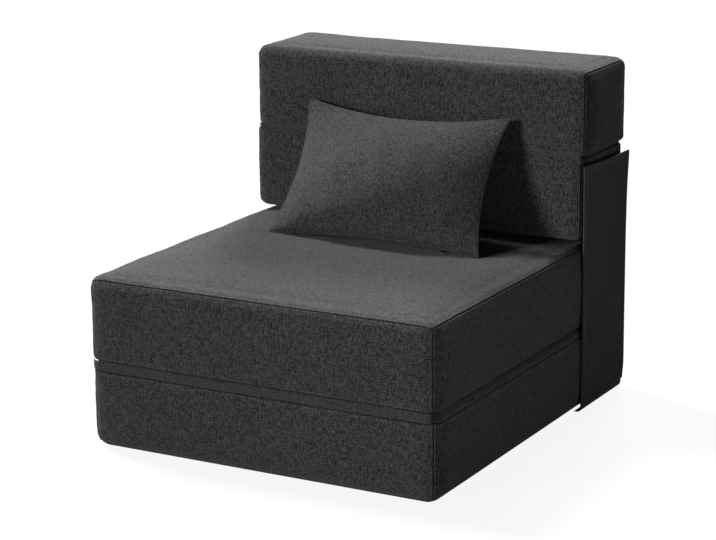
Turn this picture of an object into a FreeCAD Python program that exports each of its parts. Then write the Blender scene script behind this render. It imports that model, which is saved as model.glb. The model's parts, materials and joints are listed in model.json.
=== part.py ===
# Convertible chair bed: four foam blocks in woven covers, folded in a zigzag into a low chair.
#
# The chair faces -Y with +X to its right, and stands on the XY plane. X = 0 and Y = 0 are the
# middle of the base and seat blocks, which reach half their length to the front and to the rear.
# From the floor up: base block, seat block, back block and headrest block. Each pair is joined by
# a sewn fold: at the front (base to seat), at the rear (seat to back) and at the front of the
# backrest (back to headrest). Unfolded, the four blocks lie end to end and make a bed.

import FreeCAD, Part
import math
import os
import Sketcher
from FreeCAD import Placement, Rotation, Vector

doc = FreeCAD.newDocument("chair_bed")

# Driving sizes, in millimetres and degrees.
SIZES = [
    ("block_width", 708, "all blocks, side to side at the widest"),
    ("seat_length", 800, "base and seat blocks, fold plane to rear"),
    ("back_depth", 205, "back and headrest blocks, front to rear"),
    ("block_thickness", 162, "every block, at its thickest"),
    ("fold_gap", 2, "between two blocks that meet at a fold"),
    ("long_side_draw", 6, "side faces of the long blocks, drawn in at their corners"),
    ("short_side_draw", 3, "side faces of the short blocks, drawn in at their corners"),
    ("face_draw", 3, "front and rear faces, drawn in at their corners"),
    ("crown_height", 6, "rise of the seat and the headrest top over their side edges"),
    ("long_corner_radius", 26, "upright corners of the base and seat blocks"),
    ("short_corner_radius", 22, "upright corners of the back and headrest blocks"),
    ("floor_edge_radius", 14, "lower edges of the base block"),
    ("front_fold_radius", 10, "block edges at the front fold"),
    ("seat_edge_radius", 14, "top edges of the seat block"),
    ("back_foot_radius", 18, "lower edges of the back block"),
    ("top_fold_radius", 11, "block edges at the headrest fold"),
    ("headrest_edge_radius", 20, "top edges of the headrest block"),
    ("cover_thickness", 5, "woven cover with its bonded wadding"),
    ("fit_clearance", 0.3, "between a soft piece and what it lies against"),
    ("underside_thickness", 1.2, "non-slip sheet under the base"),
    ("underside_margin", 30, "from the widest outline of the base to the sheet's edge"),
    ("leaf_thickness", 0.7, "fabric of the folds"),
    ("leaf_end_margin", 27, "from the blocks' widest outline to the end of a fold's fabric"),
    ("leaf_setback", 0.2, "fold fabric behind the fold plane"),
    ("zip_end_margin", 34, "from the blocks' widest outline to the end of a zip's tape"),
    ("zip_tape_width", 26, "both halves of a block's zip together"),
    ("zip_tape_thickness", 1, "woven zip tape"),
    ("zip_coil_width", 5, "closed zip teeth"),
    ("zip_coil_height", 0.6, "zip teeth over the tape"),
    ("zip_recess_depth", 3.8, "placket that the zip lies in"),
    ("zip_recess_margin", 2, "placket round the tape"),
    ("zip_end_stop", 16, "closed slider to the end of the tape"),
    ("slider_length", 12, "zip slider along the zip"),
    ("slider_width", 9, "zip slider across the zip"),
    ("slider_thickness", 1.2, "zip slider over the teeth"),
    ("slider_corner_radius", 2, "corners of a zip slider"),
    ("panel_width", 212, "side panel, front to rear"),
    ("panel_thickness", 4.4, "side panel, two layers and wadding"),
    ("panel_foot_height", 9, "floor to the lower edge of the side panel"),
    ("panel_top_drop", 19, "top of the back block to the top of the side panel"),
    ("panel_corner_radius", 12, "corners of the side panel"),
    ("binding_thickness", 1.4, "edge binding round the side panel"),
    ("fastener_length", 150, "hook tape and loop tape, front to rear"),
    ("fastener_width", 36, "hook tape and loop tape, up and down"),
    ("fastener_thickness", 1, "hook tape or loop tape"),
    ("fastener_drop", 14, "top of the side panel to the hook tape"),
    ("panel_pivot_height", 3, "floor to the side panel's fold"),
    ("panel_leaf_height", 24, "fold fabric on the side panel"),
    ("panel_leaf_lap", 14, "fold fabric under the edge of the base"),
    ("pillow_width", 450, "pillow, corner to corner along its long sides"),
    ("pillow_height", 290, "pillow, corner to corner along its short sides"),
    ("pillow_thickness", 138, "pillow, at its middle"),
    ("pillow_long_draw", 15, "long sides of the pillow, drawn in at their middles"),
    ("pillow_short_draw", 12, "short sides of the pillow, drawn in at their middles"),
    ("pillow_lean_angle", 34, "pillow, back from upright"),
    ("pillow_back_gap", 13.7, "top corners of the pillow to the backrest"),
    ("pillow_offset", 2, "middle of the pillow to the right of the chair's middle"),
    ("pillow_cover_thickness", 1.6, "pillow cover"),
    ("pillow_zip_length", 300, "zip tape of the pillow"),
    ("pillow_zip_depth", 3.5, "zip tape of the pillow, out from its seam"),
    ("pillow_zip_thickness", 1.6, "zip tape of the pillow"),
    ("pillow_slider_length", 10, "slider of the pillow's zip, along the zip"),
    ("pillow_slider_depth", 2.2, "slider of the pillow's zip, out from the tape"),
    ("pillow_slider_thickness", 4, "slider of the pillow's zip, across the tape"),
]

sheet = doc.addObject("Spreadsheet::Sheet", "sizes")
for row, (alias, value, meaning) in enumerate(SIZES, start=1):
    sheet.set(f"A{row}", alias)
    sheet.set(f"B{row}", str(value))
    sheet.set(f"C{row}", meaning)
    sheet.setAlias(f"B{row}", alias)
doc.recompute()


def size(alias):
    """A driving size, read back from the sheet."""
    return float(sheet.get(alias))


# Heights and places that follow from the driving sizes.
half_width = size("block_width") / 2
thickness = size("block_thickness")
gap = size("fold_gap")
fit = size("fit_clearance")
base_floor = size("underside_thickness") + fit
base_top = base_floor + thickness
seat_floor = base_top + gap
seat_top = seat_floor + thickness
back_floor = seat_top + gap
back_top = back_floor + thickness
headrest_floor = back_top + gap
headrest_top = headrest_floor + thickness
front_plane = -size("seat_length") / 2
rear_plane = size("seat_length") / 2
back_plane = rear_plane - size("back_depth")

# The same heights as expressions for the objects that are bound to the sheet.
LEVEL = "(sizes.block_thickness + sizes.fold_gap)"
BASE_FLOOR = "(sizes.underside_thickness + sizes.fit_clearance)"
FRONT_FOLD = f"({BASE_FLOOR} + {LEVEL} - sizes.fold_gap / 2)"
REAR_FOLD = f"({BASE_FLOOR} + 2 * {LEVEL} - sizes.fold_gap / 2)"
TOP_FOLD = f"({BASE_FLOOR} + 3 * {LEVEL} - sizes.fold_gap / 2)"
BACK_TOP = f"({BASE_FLOOR} + 3 * {LEVEL} - sizes.fold_gap)"
FRONT_PLANE = "(-sizes.seat_length / 2)"
REAR_PLANE = "(sizes.seat_length / 2)"
BACK_PLANE = "(sizes.seat_length / 2 - sizes.back_depth)"
HALF_WIDTH = "(sizes.block_width / 2)"

nodes = []


def add_node(item, label):
    """Names a finished sub-part and puts it on the list of files to write."""
    item.Label = label
    nodes.append(item)
    return item


def bind(item, **expressions):
    """Binds properties of one object to the sheet."""
    for name, expression in expressions.items():
        item.setExpression(name, expression)


def bind_place(item, x, y, z):
    """Binds the position of one object to the sheet."""
    item.setExpression(".Placement.Base.x", x)
    item.setExpression(".Placement.Base.y", y)
    item.setExpression(".Placement.Base.z", z)


# Stuffed blocks


def bowed_outline(half_wide, y_front, y_rear, side_draw, end_draw):
    """Plan of a stuffed block at Z = 0: four sides that bow outwards between drawn-in corners."""
    x_corner = half_wide - side_draw
    y_near = y_front + end_draw
    y_far = y_rear - end_draw
    y_middle = (y_front + y_rear) / 2
    corners = [
        Vector(-x_corner, y_near, 0),
        Vector(x_corner, y_near, 0),
        Vector(x_corner, y_far, 0),
        Vector(-x_corner, y_far, 0),
    ]
    middles = [
        Vector(0, y_front, 0),
        Vector(half_wide, y_middle, 0),
        Vector(0, y_rear, 0),
        Vector(-half_wide, y_middle, 0),
    ]
    sides = []
    for index, middle in enumerate(middles):
        start = corners[index]
        end = corners[(index + 1) % 4]
        sides.append(Part.Arc(start, middle, end).toShape())
    return Part.Wire(sides)


CROWN_POWER = 8


def crown_fall(rise, x, half_wide):
    """How far a crowned top has fallen at a distance x from its middle: hardly at all until near the side."""
    return rise * (abs(x) / half_wide) ** CROWN_POWER


def crown_cutter(half_wide, y_front, y_rear, z_top, rise):
    """The space under a top that is nearly level in its middle and falls by the rise to both sides."""
    overhang = 20
    half_span = half_wide + overhang
    y_start = y_front - overhang
    end_fall = crown_fall(rise, half_span, half_wide)
    # Poles of the even power: evenly spaced, and by turns below and above the top
    poles = []
    for index in range(CROWN_POWER + 1):
        x = half_span * (2 * index / CROWN_POWER - 1)
        side = 1 if index % 2 else -1
        poles.append(Vector(x, y_start, z_top + side * end_fall))
    crown_line = Part.BezierCurve()
    crown_line.setPoles(poles)
    left, right = poles[0], poles[-1]
    depth = 2 * thickness
    left_foot = left - Vector(0, 0, depth)
    right_foot = right - Vector(0, 0, depth)
    profile = Part.Wire([
        crown_line.toBSpline().toShape(),
        Part.makeLine(right, right_foot),
        Part.makeLine(right_foot, left_foot),
        Part.makeLine(left_foot, left),
    ])
    return Part.Face(profile).extrude(Vector(0, y_rear - y_front + 2 * overhang, 0))


def upright_edges(solid):
    """Edges that stand straight up."""
    found = []
    for edge in solid.Edges:
        box = edge.BoundBox
        if box.ZLength > 1 and box.XLength < 1e-6 and box.YLength < 1e-6:
            found.append(edge)
    return found


def rim_edges(solid, top):
    """Edges round the top or the underside."""
    faces = sorted(solid.Faces, key=lambda face: face.CenterOfMass.z)
    return faces[-1].Edges if top else faces[0].Edges


def stuffed_block(plan, z_low, z_high, radii, crown, inset):
    """A stuffed block with rounded edges, all of it moved inwards by the inset.

    plan is the half width, front, rear, side draw and end draw, and radii are those of the
    upright corners, the lower rim and the upper rim.
    """
    half_wide, y_front, y_rear, side_draw, end_draw = plan
    half_wide -= inset
    y_front += inset
    y_rear -= inset
    z_low += inset
    z_high -= inset
    least_radius = 2
    corner, lower, upper = [max(radius - inset, least_radius) for radius in radii]
    outline = bowed_outline(half_wide, y_front, y_rear, side_draw, end_draw)
    outline.translate(Vector(0, 0, z_low))
    block = Part.Face(outline).extrude(Vector(0, 0, z_high - z_low))
    if crown:
        block = block.common(crown_cutter(half_wide, y_front, y_rear, z_high, crown))
    block = block.Solids[0].makeFillet(corner, upright_edges(block.Solids[0]))
    block = block.makeFillet(lower, rim_edges(block, top=False))
    return block.makeFillet(upper, rim_edges(block, top=True))


def zip_placket(y_rear, z_middle):
    """The shallow recess in a rear face that a block's zip lies in."""
    margin = size("zip_recess_margin")
    length = size("block_width") - 2 * size("zip_end_margin") + 2 * margin
    height = size("zip_tape_width") + 2 * margin
    corner = Vector(-length / 2, y_rear - size("zip_recess_depth"), z_middle - height / 2)
    return Part.makeBox(length, 2 * size("zip_recess_depth"), height, corner)


def block_pair(name, plan, z_low, z_high, radii, crown=0):
    """A block's hollow cover, with the placket for its zip, and the foam core inside it."""
    cover_thickness = size("cover_thickness")
    outside = stuffed_block(plan, z_low, z_high, radii, crown, 0)
    cavity = stuffed_block(plan, z_low, z_high, radii, crown, cover_thickness)
    core = stuffed_block(plan, z_low, z_high, radii, crown, cover_thickness + fit)
    placket = zip_placket(plan[2], (z_low + z_high) / 2)
    cover = outside.cut(placket).cut(cavity)
    for label, shape in ((f"{name}_cover", cover), (f"{name}_foam_core", core)):
        item = doc.addObject("Part::Feature", label)
        item.Shape = shape
        item.Placement = Placement()
        add_node(item, label)


long_plan = (
    half_width, front_plane + gap / 2, rear_plane - gap / 2,
    size("long_side_draw"), size("face_draw"),
)
short_plan = (
    half_width, back_plane + gap / 2, rear_plane - gap / 2,
    size("short_side_draw"), size("face_draw"),
)
block_pair(
    "base", long_plan, base_floor, base_top,
    (size("long_corner_radius"), size("floor_edge_radius"), size("front_fold_radius")),
)
block_pair(
    "seat", long_plan, seat_floor, seat_top,
    (size("long_corner_radius"), size("front_fold_radius"), size("seat_edge_radius")),
    crown=size("crown_height"),
)
block_pair(
    "back", short_plan, back_floor, back_top,
    (size("short_corner_radius"), size("back_foot_radius"), size("top_fold_radius")),
)
block_pair(
    "headrest", short_plan, headrest_floor, headrest_top,
    (size("short_corner_radius"), size("top_fold_radius"), size("headrest_edge_radius")),
    crown=size("crown_height"),
)


# Flat pieces


def flat_strip(label, length, depth, height, x, y, z):
    """A strip of tape or sheet: a box whose sizes and place are bound to the sheet."""
    strip = doc.addObject("Part::Box", label)
    bind(strip, Length=length, Width=depth, Height=height)
    bind_place(strip, x, y, z)
    return strip


# Non-slip sheet on the underside of the base
add_node(flat_strip(
    "base_underside_sheet",
    "sizes.block_width - 2 * sizes.underside_margin",
    "sizes.seat_length - 2 * sizes.underside_margin",
    "sizes.underside_thickness",
    "-(sizes.block_width / 2 - sizes.underside_margin)",
    "-(sizes.seat_length / 2 - sizes.underside_margin)",
    "0",
), "base_underside_sheet")

# Fabric of the folds: each fold has one leaf on either block, and they meet at the fold's axis
LEAF_LENGTH = "sizes.block_width - 2 * sizes.leaf_end_margin"
LEAF_START = "-(sizes.block_width / 2 - sizes.leaf_end_margin)"
FRONT_LEAF_Y = f"{FRONT_PLANE} + sizes.leaf_setback"
REAR_LEAF_Y = f"{REAR_PLANE} - sizes.leaf_setback - sizes.leaf_thickness"
TOP_LEAF_Y = f"{BACK_PLANE} + sizes.leaf_setback"
HALF_FIT = "sizes.fit_clearance / 2"
FOLD_LEAVES = [
    ("front_fold_base_leaf", FRONT_LEAF_Y, FRONT_FOLD, "sizes.front_fold_radius", False),
    ("front_fold_seat_leaf", FRONT_LEAF_Y, FRONT_FOLD, "sizes.front_fold_radius", True),
    ("rear_fold_seat_leaf", REAR_LEAF_Y, REAR_FOLD, "sizes.seat_edge_radius", False),
    ("rear_fold_back_leaf", REAR_LEAF_Y, REAR_FOLD, "sizes.back_foot_radius", True),
    ("headrest_fold_back_leaf", TOP_LEAF_Y, TOP_FOLD, "sizes.top_fold_radius", False),
    ("headrest_fold_headrest_leaf", TOP_LEAF_Y, TOP_FOLD, "sizes.top_fold_radius", True),
]
for label, leaf_y, fold_height, leaf_height, is_upper in FOLD_LEAVES:
    leaf_z = f"{fold_height} + {HALF_FIT}" if is_upper else f"{fold_height} - {HALF_FIT} - {leaf_height}"
    leaf = flat_strip(
        label, LEAF_LENGTH, "sizes.leaf_thickness", leaf_height, LEAF_START, leaf_y, leaf_z,
    )
    add_node(leaf, label)


# Plates with rounded corners


def plane_of(body, role):
    """One of a body's own origin planes."""
    for feature in body.Origin.OriginFeatures:
        if feature.Role == role:
            return feature
    raise ValueError(role)


def rectangle_sketch(body, role, wide, high):
    """A rectangle with its corner on the sketch's origin, bound to the sheet."""
    sketch = body.newObject("Sketcher::SketchObject", "outline")
    sketch.AttachmentSupport = [(plane_of(body, role), "")]
    sketch.MapMode = "FlatFace"
    corners = [Vector(0, 0, 0), Vector(50, 0, 0), Vector(50, 40, 0), Vector(0, 40, 0)]
    for index, corner in enumerate(corners):
        sketch.addGeometry(Part.LineSegment(corner, corners[(index + 1) % 4]), False)
    for index in range(4):
        sketch.addConstraint(Sketcher.Constraint("Coincident", index, 2, (index + 1) % 4, 1))
    for index, direction in enumerate(("Horizontal", "Vertical", "Horizontal", "Vertical")):
        sketch.addConstraint(Sketcher.Constraint(direction, index))
    sketch.addConstraint(Sketcher.Constraint("Coincident", 0, 1, -1, 1))
    sketch.addConstraint(Sketcher.Constraint("DistanceX", 0, 1, 0, 2, 50))
    sketch.renameConstraint(sketch.ConstraintCount - 1, "wide")
    sketch.addConstraint(Sketcher.Constraint("DistanceY", 1, 1, 1, 2, 40))
    sketch.renameConstraint(sketch.ConstraintCount - 1, "high")
    bind(sketch, **{"Constraints.wide": wide, "Constraints.high": high})
    return sketch


def rounded_plate(name, role, wide, high, thick, radius):
    """A padded rectangle whose four corners are rounded."""
    body = doc.addObject("PartDesign::Body", name)
    sketch = rectangle_sketch(body, role, wide, high)
    pad = body.newObject("PartDesign::Pad", "plate")
    pad.Profile = sketch
    bind(pad, Length=thick)
    doc.recompute()
    through = sketch.Placement.Rotation.multVec(Vector(0, 0, 1))
    names = []
    for index, edge in enumerate(pad.Shape.Edges, start=1):
        axis = edge.tangentAt(edge.FirstParameter)
        if abs(axis.dot(through)) > 0.999:
            names.append(f"Edge{index}")
    rounding = body.newObject("PartDesign::Fillet", "corners")
    rounding.Base = (pad, names)
    bind(rounding, Radius=radius)
    doc.recompute()
    return body


# Side panel, held against the right side of the folded stack
PANEL_INNER_X = f"({HALF_WIDTH} + 2 * sizes.fastener_thickness + 3 * sizes.fit_clearance)"
PANEL_Y = f"({REAR_PLANE} - sizes.fold_gap / 2 - sizes.panel_width)"
PANEL_TOP = f"({BACK_TOP} - sizes.panel_top_drop)"
PANEL_HEIGHT = f"({PANEL_TOP} - sizes.panel_foot_height)"
BINDING = "sizes.binding_thickness"

panel = rounded_plate(
    "side_panel_fabric", "YZ_Plane",
    f"sizes.panel_width - 2 * {BINDING} - 2 * sizes.fit_clearance",
    f"{PANEL_HEIGHT} - 2 * {BINDING} - 2 * sizes.fit_clearance",
    "sizes.panel_thickness",
    f"sizes.panel_corner_radius - {BINDING}",
)
bind_place(
    panel, PANEL_INNER_X,
    f"{PANEL_Y} + {BINDING} + sizes.fit_clearance",
    f"sizes.panel_foot_height + {BINDING} + sizes.fit_clearance",
)
add_node(panel, "side_panel_fabric")

# Binding round the edge of the side panel: a larger plate less the panel's own space
binding_outside = rounded_plate(
    "binding_outside", "YZ_Plane", "sizes.panel_width", PANEL_HEIGHT,
    "sizes.panel_thickness", "sizes.panel_corner_radius",
)
bind_place(binding_outside, PANEL_INNER_X, PANEL_Y, "sizes.panel_foot_height")
binding_inside = rounded_plate(
    "binding_inside", "YZ_Plane",
    f"sizes.panel_width - 2 * {BINDING}", f"{PANEL_HEIGHT} - 2 * {BINDING}",
    "sizes.panel_thickness", f"sizes.panel_corner_radius - {BINDING}",
)
bind_place(
    binding_inside, PANEL_INNER_X, f"{PANEL_Y} + {BINDING}", f"sizes.panel_foot_height + {BINDING}",
)
binding = doc.addObject("Part::Cut", "side_panel_binding")
binding.Base = binding_outside
binding.Tool = binding_inside
add_node(binding, "side_panel_binding")

# Hook tape inside the panel's top and the loop tape that it grips on the back block's side
FASTENER_Y = f"{PANEL_Y} + (sizes.panel_width - sizes.fastener_length) / 2"
FASTENER_Z = f"{PANEL_TOP} - sizes.fastener_drop - sizes.fastener_width"
for label, fastener_x in (
    ("back_loop_tape", f"{HALF_WIDTH} + sizes.fit_clearance"),
    ("side_panel_hook_tape", f"{HALF_WIDTH} + sizes.fastener_thickness + 2 * sizes.fit_clearance"),
):
    tape = flat_strip(
        label, "sizes.fastener_thickness", "sizes.fastener_length", "sizes.fastener_width",
        fastener_x, FASTENER_Y, FASTENER_Z,
    )
    add_node(tape, label)

# Fold of the side panel: one leaf under the base's edge, one on the panel's inner face
PANEL_LEAF_Y = f"{PANEL_Y} + sizes.panel_corner_radius"
PANEL_LEAF_LENGTH = "sizes.panel_width - 2 * sizes.panel_corner_radius"
add_node(flat_strip(
    "panel_fold_base_leaf",
    f"{PANEL_INNER_X} - {HALF_WIDTH} + sizes.panel_leaf_lap",
    PANEL_LEAF_LENGTH, "sizes.leaf_thickness",
    f"{HALF_WIDTH} - sizes.panel_leaf_lap", PANEL_LEAF_Y, "sizes.leaf_setback",
), "panel_fold_base_leaf")
add_node(flat_strip(
    "panel_fold_panel_leaf",
    "sizes.leaf_thickness", PANEL_LEAF_LENGTH, "sizes.panel_leaf_height",
    f"{PANEL_INNER_X} - sizes.fit_clearance - sizes.leaf_thickness",
    PANEL_LEAF_Y, "sizes.panel_pivot_height + sizes.fit_clearance",
), "panel_fold_panel_leaf")


# Zips of the blocks: a tape with closed teeth, and a slider that closes it at the left end
TAPE_FLOOR_Y = f"({REAR_PLANE} - sizes.fold_gap / 2 - sizes.zip_recess_depth + sizes.fit_clearance)"
COIL_Y = f"({TAPE_FLOOR_Y} + sizes.zip_tape_thickness)"
ZIP_LENGTH = "(sizes.block_width - 2 * sizes.zip_end_margin)"
ZIP_START = f"-{ZIP_LENGTH} / 2"
SLIDER_Y = f"({COIL_Y} + sizes.zip_coil_height + sizes.fit_clearance)"


def zip_pair(name, z_middle):
    """The tape with its teeth, and the slider, of the zip in one block's rear face."""
    tape = flat_strip(
        f"{name}_tape", ZIP_LENGTH, "sizes.zip_tape_thickness", "sizes.zip_tape_width",
        ZIP_START, TAPE_FLOOR_Y, f"{z_middle} - sizes.zip_tape_width / 2",
    )
    coil = flat_strip(
        f"{name}_coil", ZIP_LENGTH, "sizes.zip_coil_height", "sizes.zip_coil_width",
        ZIP_START, COIL_Y, f"{z_middle} - sizes.zip_coil_width / 2",
    )
    chain = doc.addObject("Part::Fuse", f"{name}_zip_tape")
    chain.Base = tape
    chain.Tool = coil
    add_node(chain, f"{name}_zip_tape")
    slider = rounded_plate(
        f"{name}_zip_slider", "XZ_Plane", "sizes.slider_length", "sizes.slider_width",
        "sizes.slider_thickness", "sizes.slider_corner_radius",
    )
    bind_place(
        slider, f"{ZIP_START} + sizes.zip_end_stop",
        f"{SLIDER_Y} + sizes.slider_thickness", f"{z_middle} - sizes.slider_width / 2",
    )
    add_node(slider, f"{name}_zip_slider")


for level, name in enumerate(("base", "seat", "back", "headrest")):
    zip_pair(name, f"({BASE_FLOOR} + {level} * {LEVEL} + sizes.block_thickness / 2)")


# Pillow


def pillow_outline(half_long, half_short, long_draw, short_draw, height):
    """Face-on outline of the pillow at one level: four sides curved inwards between the corners."""
    corners = [
        Vector(-half_long, -half_short, height),
        Vector(half_long, -half_short, height),
        Vector(half_long, half_short, height),
        Vector(-half_long, half_short, height),
    ]
    middles = [
        Vector(0, long_draw - half_short, height),
        Vector(half_long - short_draw, 0, height),
        Vector(0, half_short - long_draw, height),
        Vector(short_draw - half_long, 0, height),
    ]
    sides = []
    for index, middle in enumerate(middles):
        end = corners[(index + 1) % 4]
        sides.append(Part.Arc(corners[index], middle, end).toShape())
    return Part.Wire(sides)


def pillow_half(inset, side):
    """One stuffed half of the pillow, from its knife edge up to its crown."""
    half_long = size("pillow_width") / 2 - inset
    half_short = size("pillow_height") / 2 - inset
    crown = size("pillow_thickness") / 2 - inset
    rise_at_share = ((1, 0), (0.9, 0.26), (0.74, 0.58), (0.5, 0.87), (0.24, 1))
    outlines = []
    for share, rise in rise_at_share:
        outlines.append(pillow_outline(
            share * half_long, share * half_short,
            share * size("pillow_long_draw"), share * size("pillow_short_draw"),
            side * rise * crown,
        ))
    return Part.makeLoft(outlines, True, False)


def pillow_form(inset):
    """Both halves of the pillow, moved inwards by the inset and lying flat at the origin."""
    return pillow_half(inset, 1).fuse(pillow_half(inset, -1)).removeSplitter()


# The pillow stands on two corners on the seat's crown, and leans back
lean = math.radians(size("pillow_lean_angle"))
corner_x = size("pillow_width") / 2 + abs(size("pillow_offset"))
corner_drop = crown_fall(size("crown_height"), corner_x, half_width)
pillow_middle = Vector(
    size("pillow_offset"),
    back_plane + gap / 2 - size("pillow_back_gap") - size("pillow_height") / 2 * math.sin(lean),
    seat_top - corner_drop + fit + size("pillow_height") / 2 * math.cos(lean),
)
pillow_place = Placement(pillow_middle, Rotation(Vector(1, 0, 0), 90 - size("pillow_lean_angle")))

# The lower long side of the pillow is an arc, and its zip and the slider's travel follow that arc
seam_bow = size("pillow_long_draw")
seam_radius = size("pillow_width") ** 2 / (8 * seam_bow) + seam_bow / 2
seam_centre = Vector(0, seam_bow - size("pillow_height") / 2 - seam_radius, 0)


def seam_band(start_x, end_x, setback, depth, band_thickness):
    """A band that lies along the lower seam between two places, set back outwards from it."""
    def point(x, radius):
        angle = math.asin(x / seam_radius)
        return seam_centre + Vector(math.sin(angle), math.cos(angle), 0) * radius
    near = seam_radius - setback
    far = near - depth
    middle_x = (start_x + end_x) / 2
    outline = Part.Wire([
        Part.Arc(point(start_x, near), point(middle_x, near), point(end_x, near)).toShape(),
        Part.makeLine(point(end_x, near), point(end_x, far)),
        Part.Arc(point(end_x, far), point(middle_x, far), point(start_x, far)).toShape(),
        Part.makeLine(point(start_x, far), point(start_x, near)),
    ])
    outline.translate(Vector(0, 0, -band_thickness / 2))
    return Part.Face(outline).extrude(Vector(0, 0, band_thickness))


zip_start = -size("pillow_zip_length") / 2
slider_start = zip_start + size("pillow_slider_length")
PILLOW_PIECES = {
    "pillow_cover": pillow_form(0).cut(pillow_form(size("pillow_cover_thickness"))),
    "pillow_fill": pillow_form(size("pillow_cover_thickness") + fit),
    "pillow_zip_tape": seam_band(
        zip_start, -zip_start, fit, size("pillow_zip_depth"), size("pillow_zip_thickness"),
    ),
    "pillow_zip_slider": seam_band(
        slider_start, slider_start + size("pillow_slider_length"),
        2 * fit + size("pillow_zip_depth"), size("pillow_slider_depth"),
        size("pillow_slider_thickness"),
    ),
}
for label, shape in PILLOW_PIECES.items():
    item = doc.addObject("Part::Feature", label)
    item.Shape = shape
    item.Placement = pillow_place
    add_node(item, label)
seam_pivot = pillow_place.multVec(seam_centre)
print(f"pillow zip turns about x {seam_pivot.x:.3f}  y {seam_pivot.y:.3f}  z {seam_pivot.z:.3f}")

doc.recompute()

# Every object has to be sound before anything is written
for item in doc.Objects:
    if "Invalid" in item.State or "Error" in item.State:
        raise RuntimeError(f"{item.Name}: {item.State}")
for item in nodes:
    if item.Shape.isNull() or not item.Shape.isValid():
        raise RuntimeError(f"{item.Label}: shape is not sound")
    if item.Shape.Volume <= 0:
        raise RuntimeError(f"{item.Label}: shape has no volume")

os.makedirs("parts", exist_ok=True)
for item in nodes:
    item.Shape.exportStep(f"parts/{item.Label}.step")
    box = item.Shape.BoundBox
    print(
        f"{item.Label:30s} solids {len(item.Shape.Solids)}  volume {item.Shape.Volume / 1000:10.1f} cm3"
        f"  x {box.XMin:7.1f} {box.XMax:7.1f}  y {box.YMin:7.1f} {box.YMax:7.1f}"
        f"  z {box.ZMin:7.1f} {box.ZMax:7.1f}"
    )
print(len(nodes), "nodes")
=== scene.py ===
# A folding foam chair bed in charcoal woven covers, folded into a chair, with its lumbar pillow.
import json
import math

import bpy
import numpy as np
from mathutils import Matrix, Vector

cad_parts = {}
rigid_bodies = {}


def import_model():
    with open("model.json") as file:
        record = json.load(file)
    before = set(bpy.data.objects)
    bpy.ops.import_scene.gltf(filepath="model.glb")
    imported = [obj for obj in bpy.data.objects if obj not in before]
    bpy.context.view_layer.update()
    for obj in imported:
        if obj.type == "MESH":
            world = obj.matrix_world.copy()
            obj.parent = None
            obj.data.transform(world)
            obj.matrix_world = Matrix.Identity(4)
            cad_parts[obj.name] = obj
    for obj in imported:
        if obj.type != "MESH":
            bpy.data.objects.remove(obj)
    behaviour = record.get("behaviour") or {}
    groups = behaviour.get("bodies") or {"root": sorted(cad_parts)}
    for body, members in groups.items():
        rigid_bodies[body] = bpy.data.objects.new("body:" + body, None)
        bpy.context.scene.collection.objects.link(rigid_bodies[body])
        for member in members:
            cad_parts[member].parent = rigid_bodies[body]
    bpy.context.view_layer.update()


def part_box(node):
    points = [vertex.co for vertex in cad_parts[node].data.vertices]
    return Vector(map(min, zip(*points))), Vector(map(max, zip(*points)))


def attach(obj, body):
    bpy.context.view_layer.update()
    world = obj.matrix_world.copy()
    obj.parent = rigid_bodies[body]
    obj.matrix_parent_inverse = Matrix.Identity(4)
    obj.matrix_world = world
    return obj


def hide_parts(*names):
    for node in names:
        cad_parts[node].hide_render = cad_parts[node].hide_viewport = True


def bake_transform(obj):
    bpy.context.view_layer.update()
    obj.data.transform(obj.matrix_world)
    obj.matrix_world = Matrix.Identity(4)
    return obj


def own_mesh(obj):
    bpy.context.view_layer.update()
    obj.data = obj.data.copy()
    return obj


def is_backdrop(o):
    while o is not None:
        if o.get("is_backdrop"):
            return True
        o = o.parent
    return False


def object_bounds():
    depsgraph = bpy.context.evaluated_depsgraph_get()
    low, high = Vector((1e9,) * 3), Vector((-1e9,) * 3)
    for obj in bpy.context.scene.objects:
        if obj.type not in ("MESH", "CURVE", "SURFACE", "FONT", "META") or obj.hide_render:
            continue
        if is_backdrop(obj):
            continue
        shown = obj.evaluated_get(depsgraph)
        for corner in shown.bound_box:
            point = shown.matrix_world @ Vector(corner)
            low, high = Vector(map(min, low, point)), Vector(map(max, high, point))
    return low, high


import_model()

MM = 0.001
X, Y, Z = np.eye(3)


def node_box(node):
    """The lowest and highest corners of a CAD node."""
    low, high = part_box(node)
    return np.array(low, float), np.array(high, float)


def belongs(piece, body, node=None):
    """Lets a piece ride on a body, and lets it stand for a CAD node."""
    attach(piece, body)
    if node:
        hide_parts(node)


def column(*parts):
    """Numbers or arrays as the coordinates of points."""
    return np.stack(np.broadcast_arrays(*[np.asarray(part, float) for part in parts]), -1)


# Meshes

# Distances of the grid lines from the edge of a sewn panel, and the spacing further in
EDGE_LINES = np.array([0, 0.9, 1.9, 3, 4.3, 5.8, 7.8, 10.4, 13.5, 17.5, 22, 27, 32]) * MM
LINE_STEP = 6 * MM
SEAM_LINES = np.array([0, 0.7, 1.5, 2.5, 3.7, 5.2]) * MM


def grid_lines(low, high, extra=(), edge=EDGE_LINES, step=LINE_STEP):
    """Grid lines from low to high, close together at both ends and at the extra places."""
    reach = min(edge[-1], (high - low) / 2)
    near = edge[edge <= reach]
    count = max(int(round((high - low - 2 * near[-1]) / step)), 1)
    middle = np.linspace(low + near[-1], high - near[-1], count + 1)
    lines = np.concatenate([low + near, middle, high - near])
    for place in extra:
        lines = lines[np.abs(lines - place) > SEAM_LINES[-1]]
        lines = np.concatenate([lines, place - SEAM_LINES, place + SEAM_LINES])
    lines = np.sort(np.clip(lines, low, high))
    return lines[np.concatenate([[True], np.diff(lines) > 0.3 * MM])]


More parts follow.
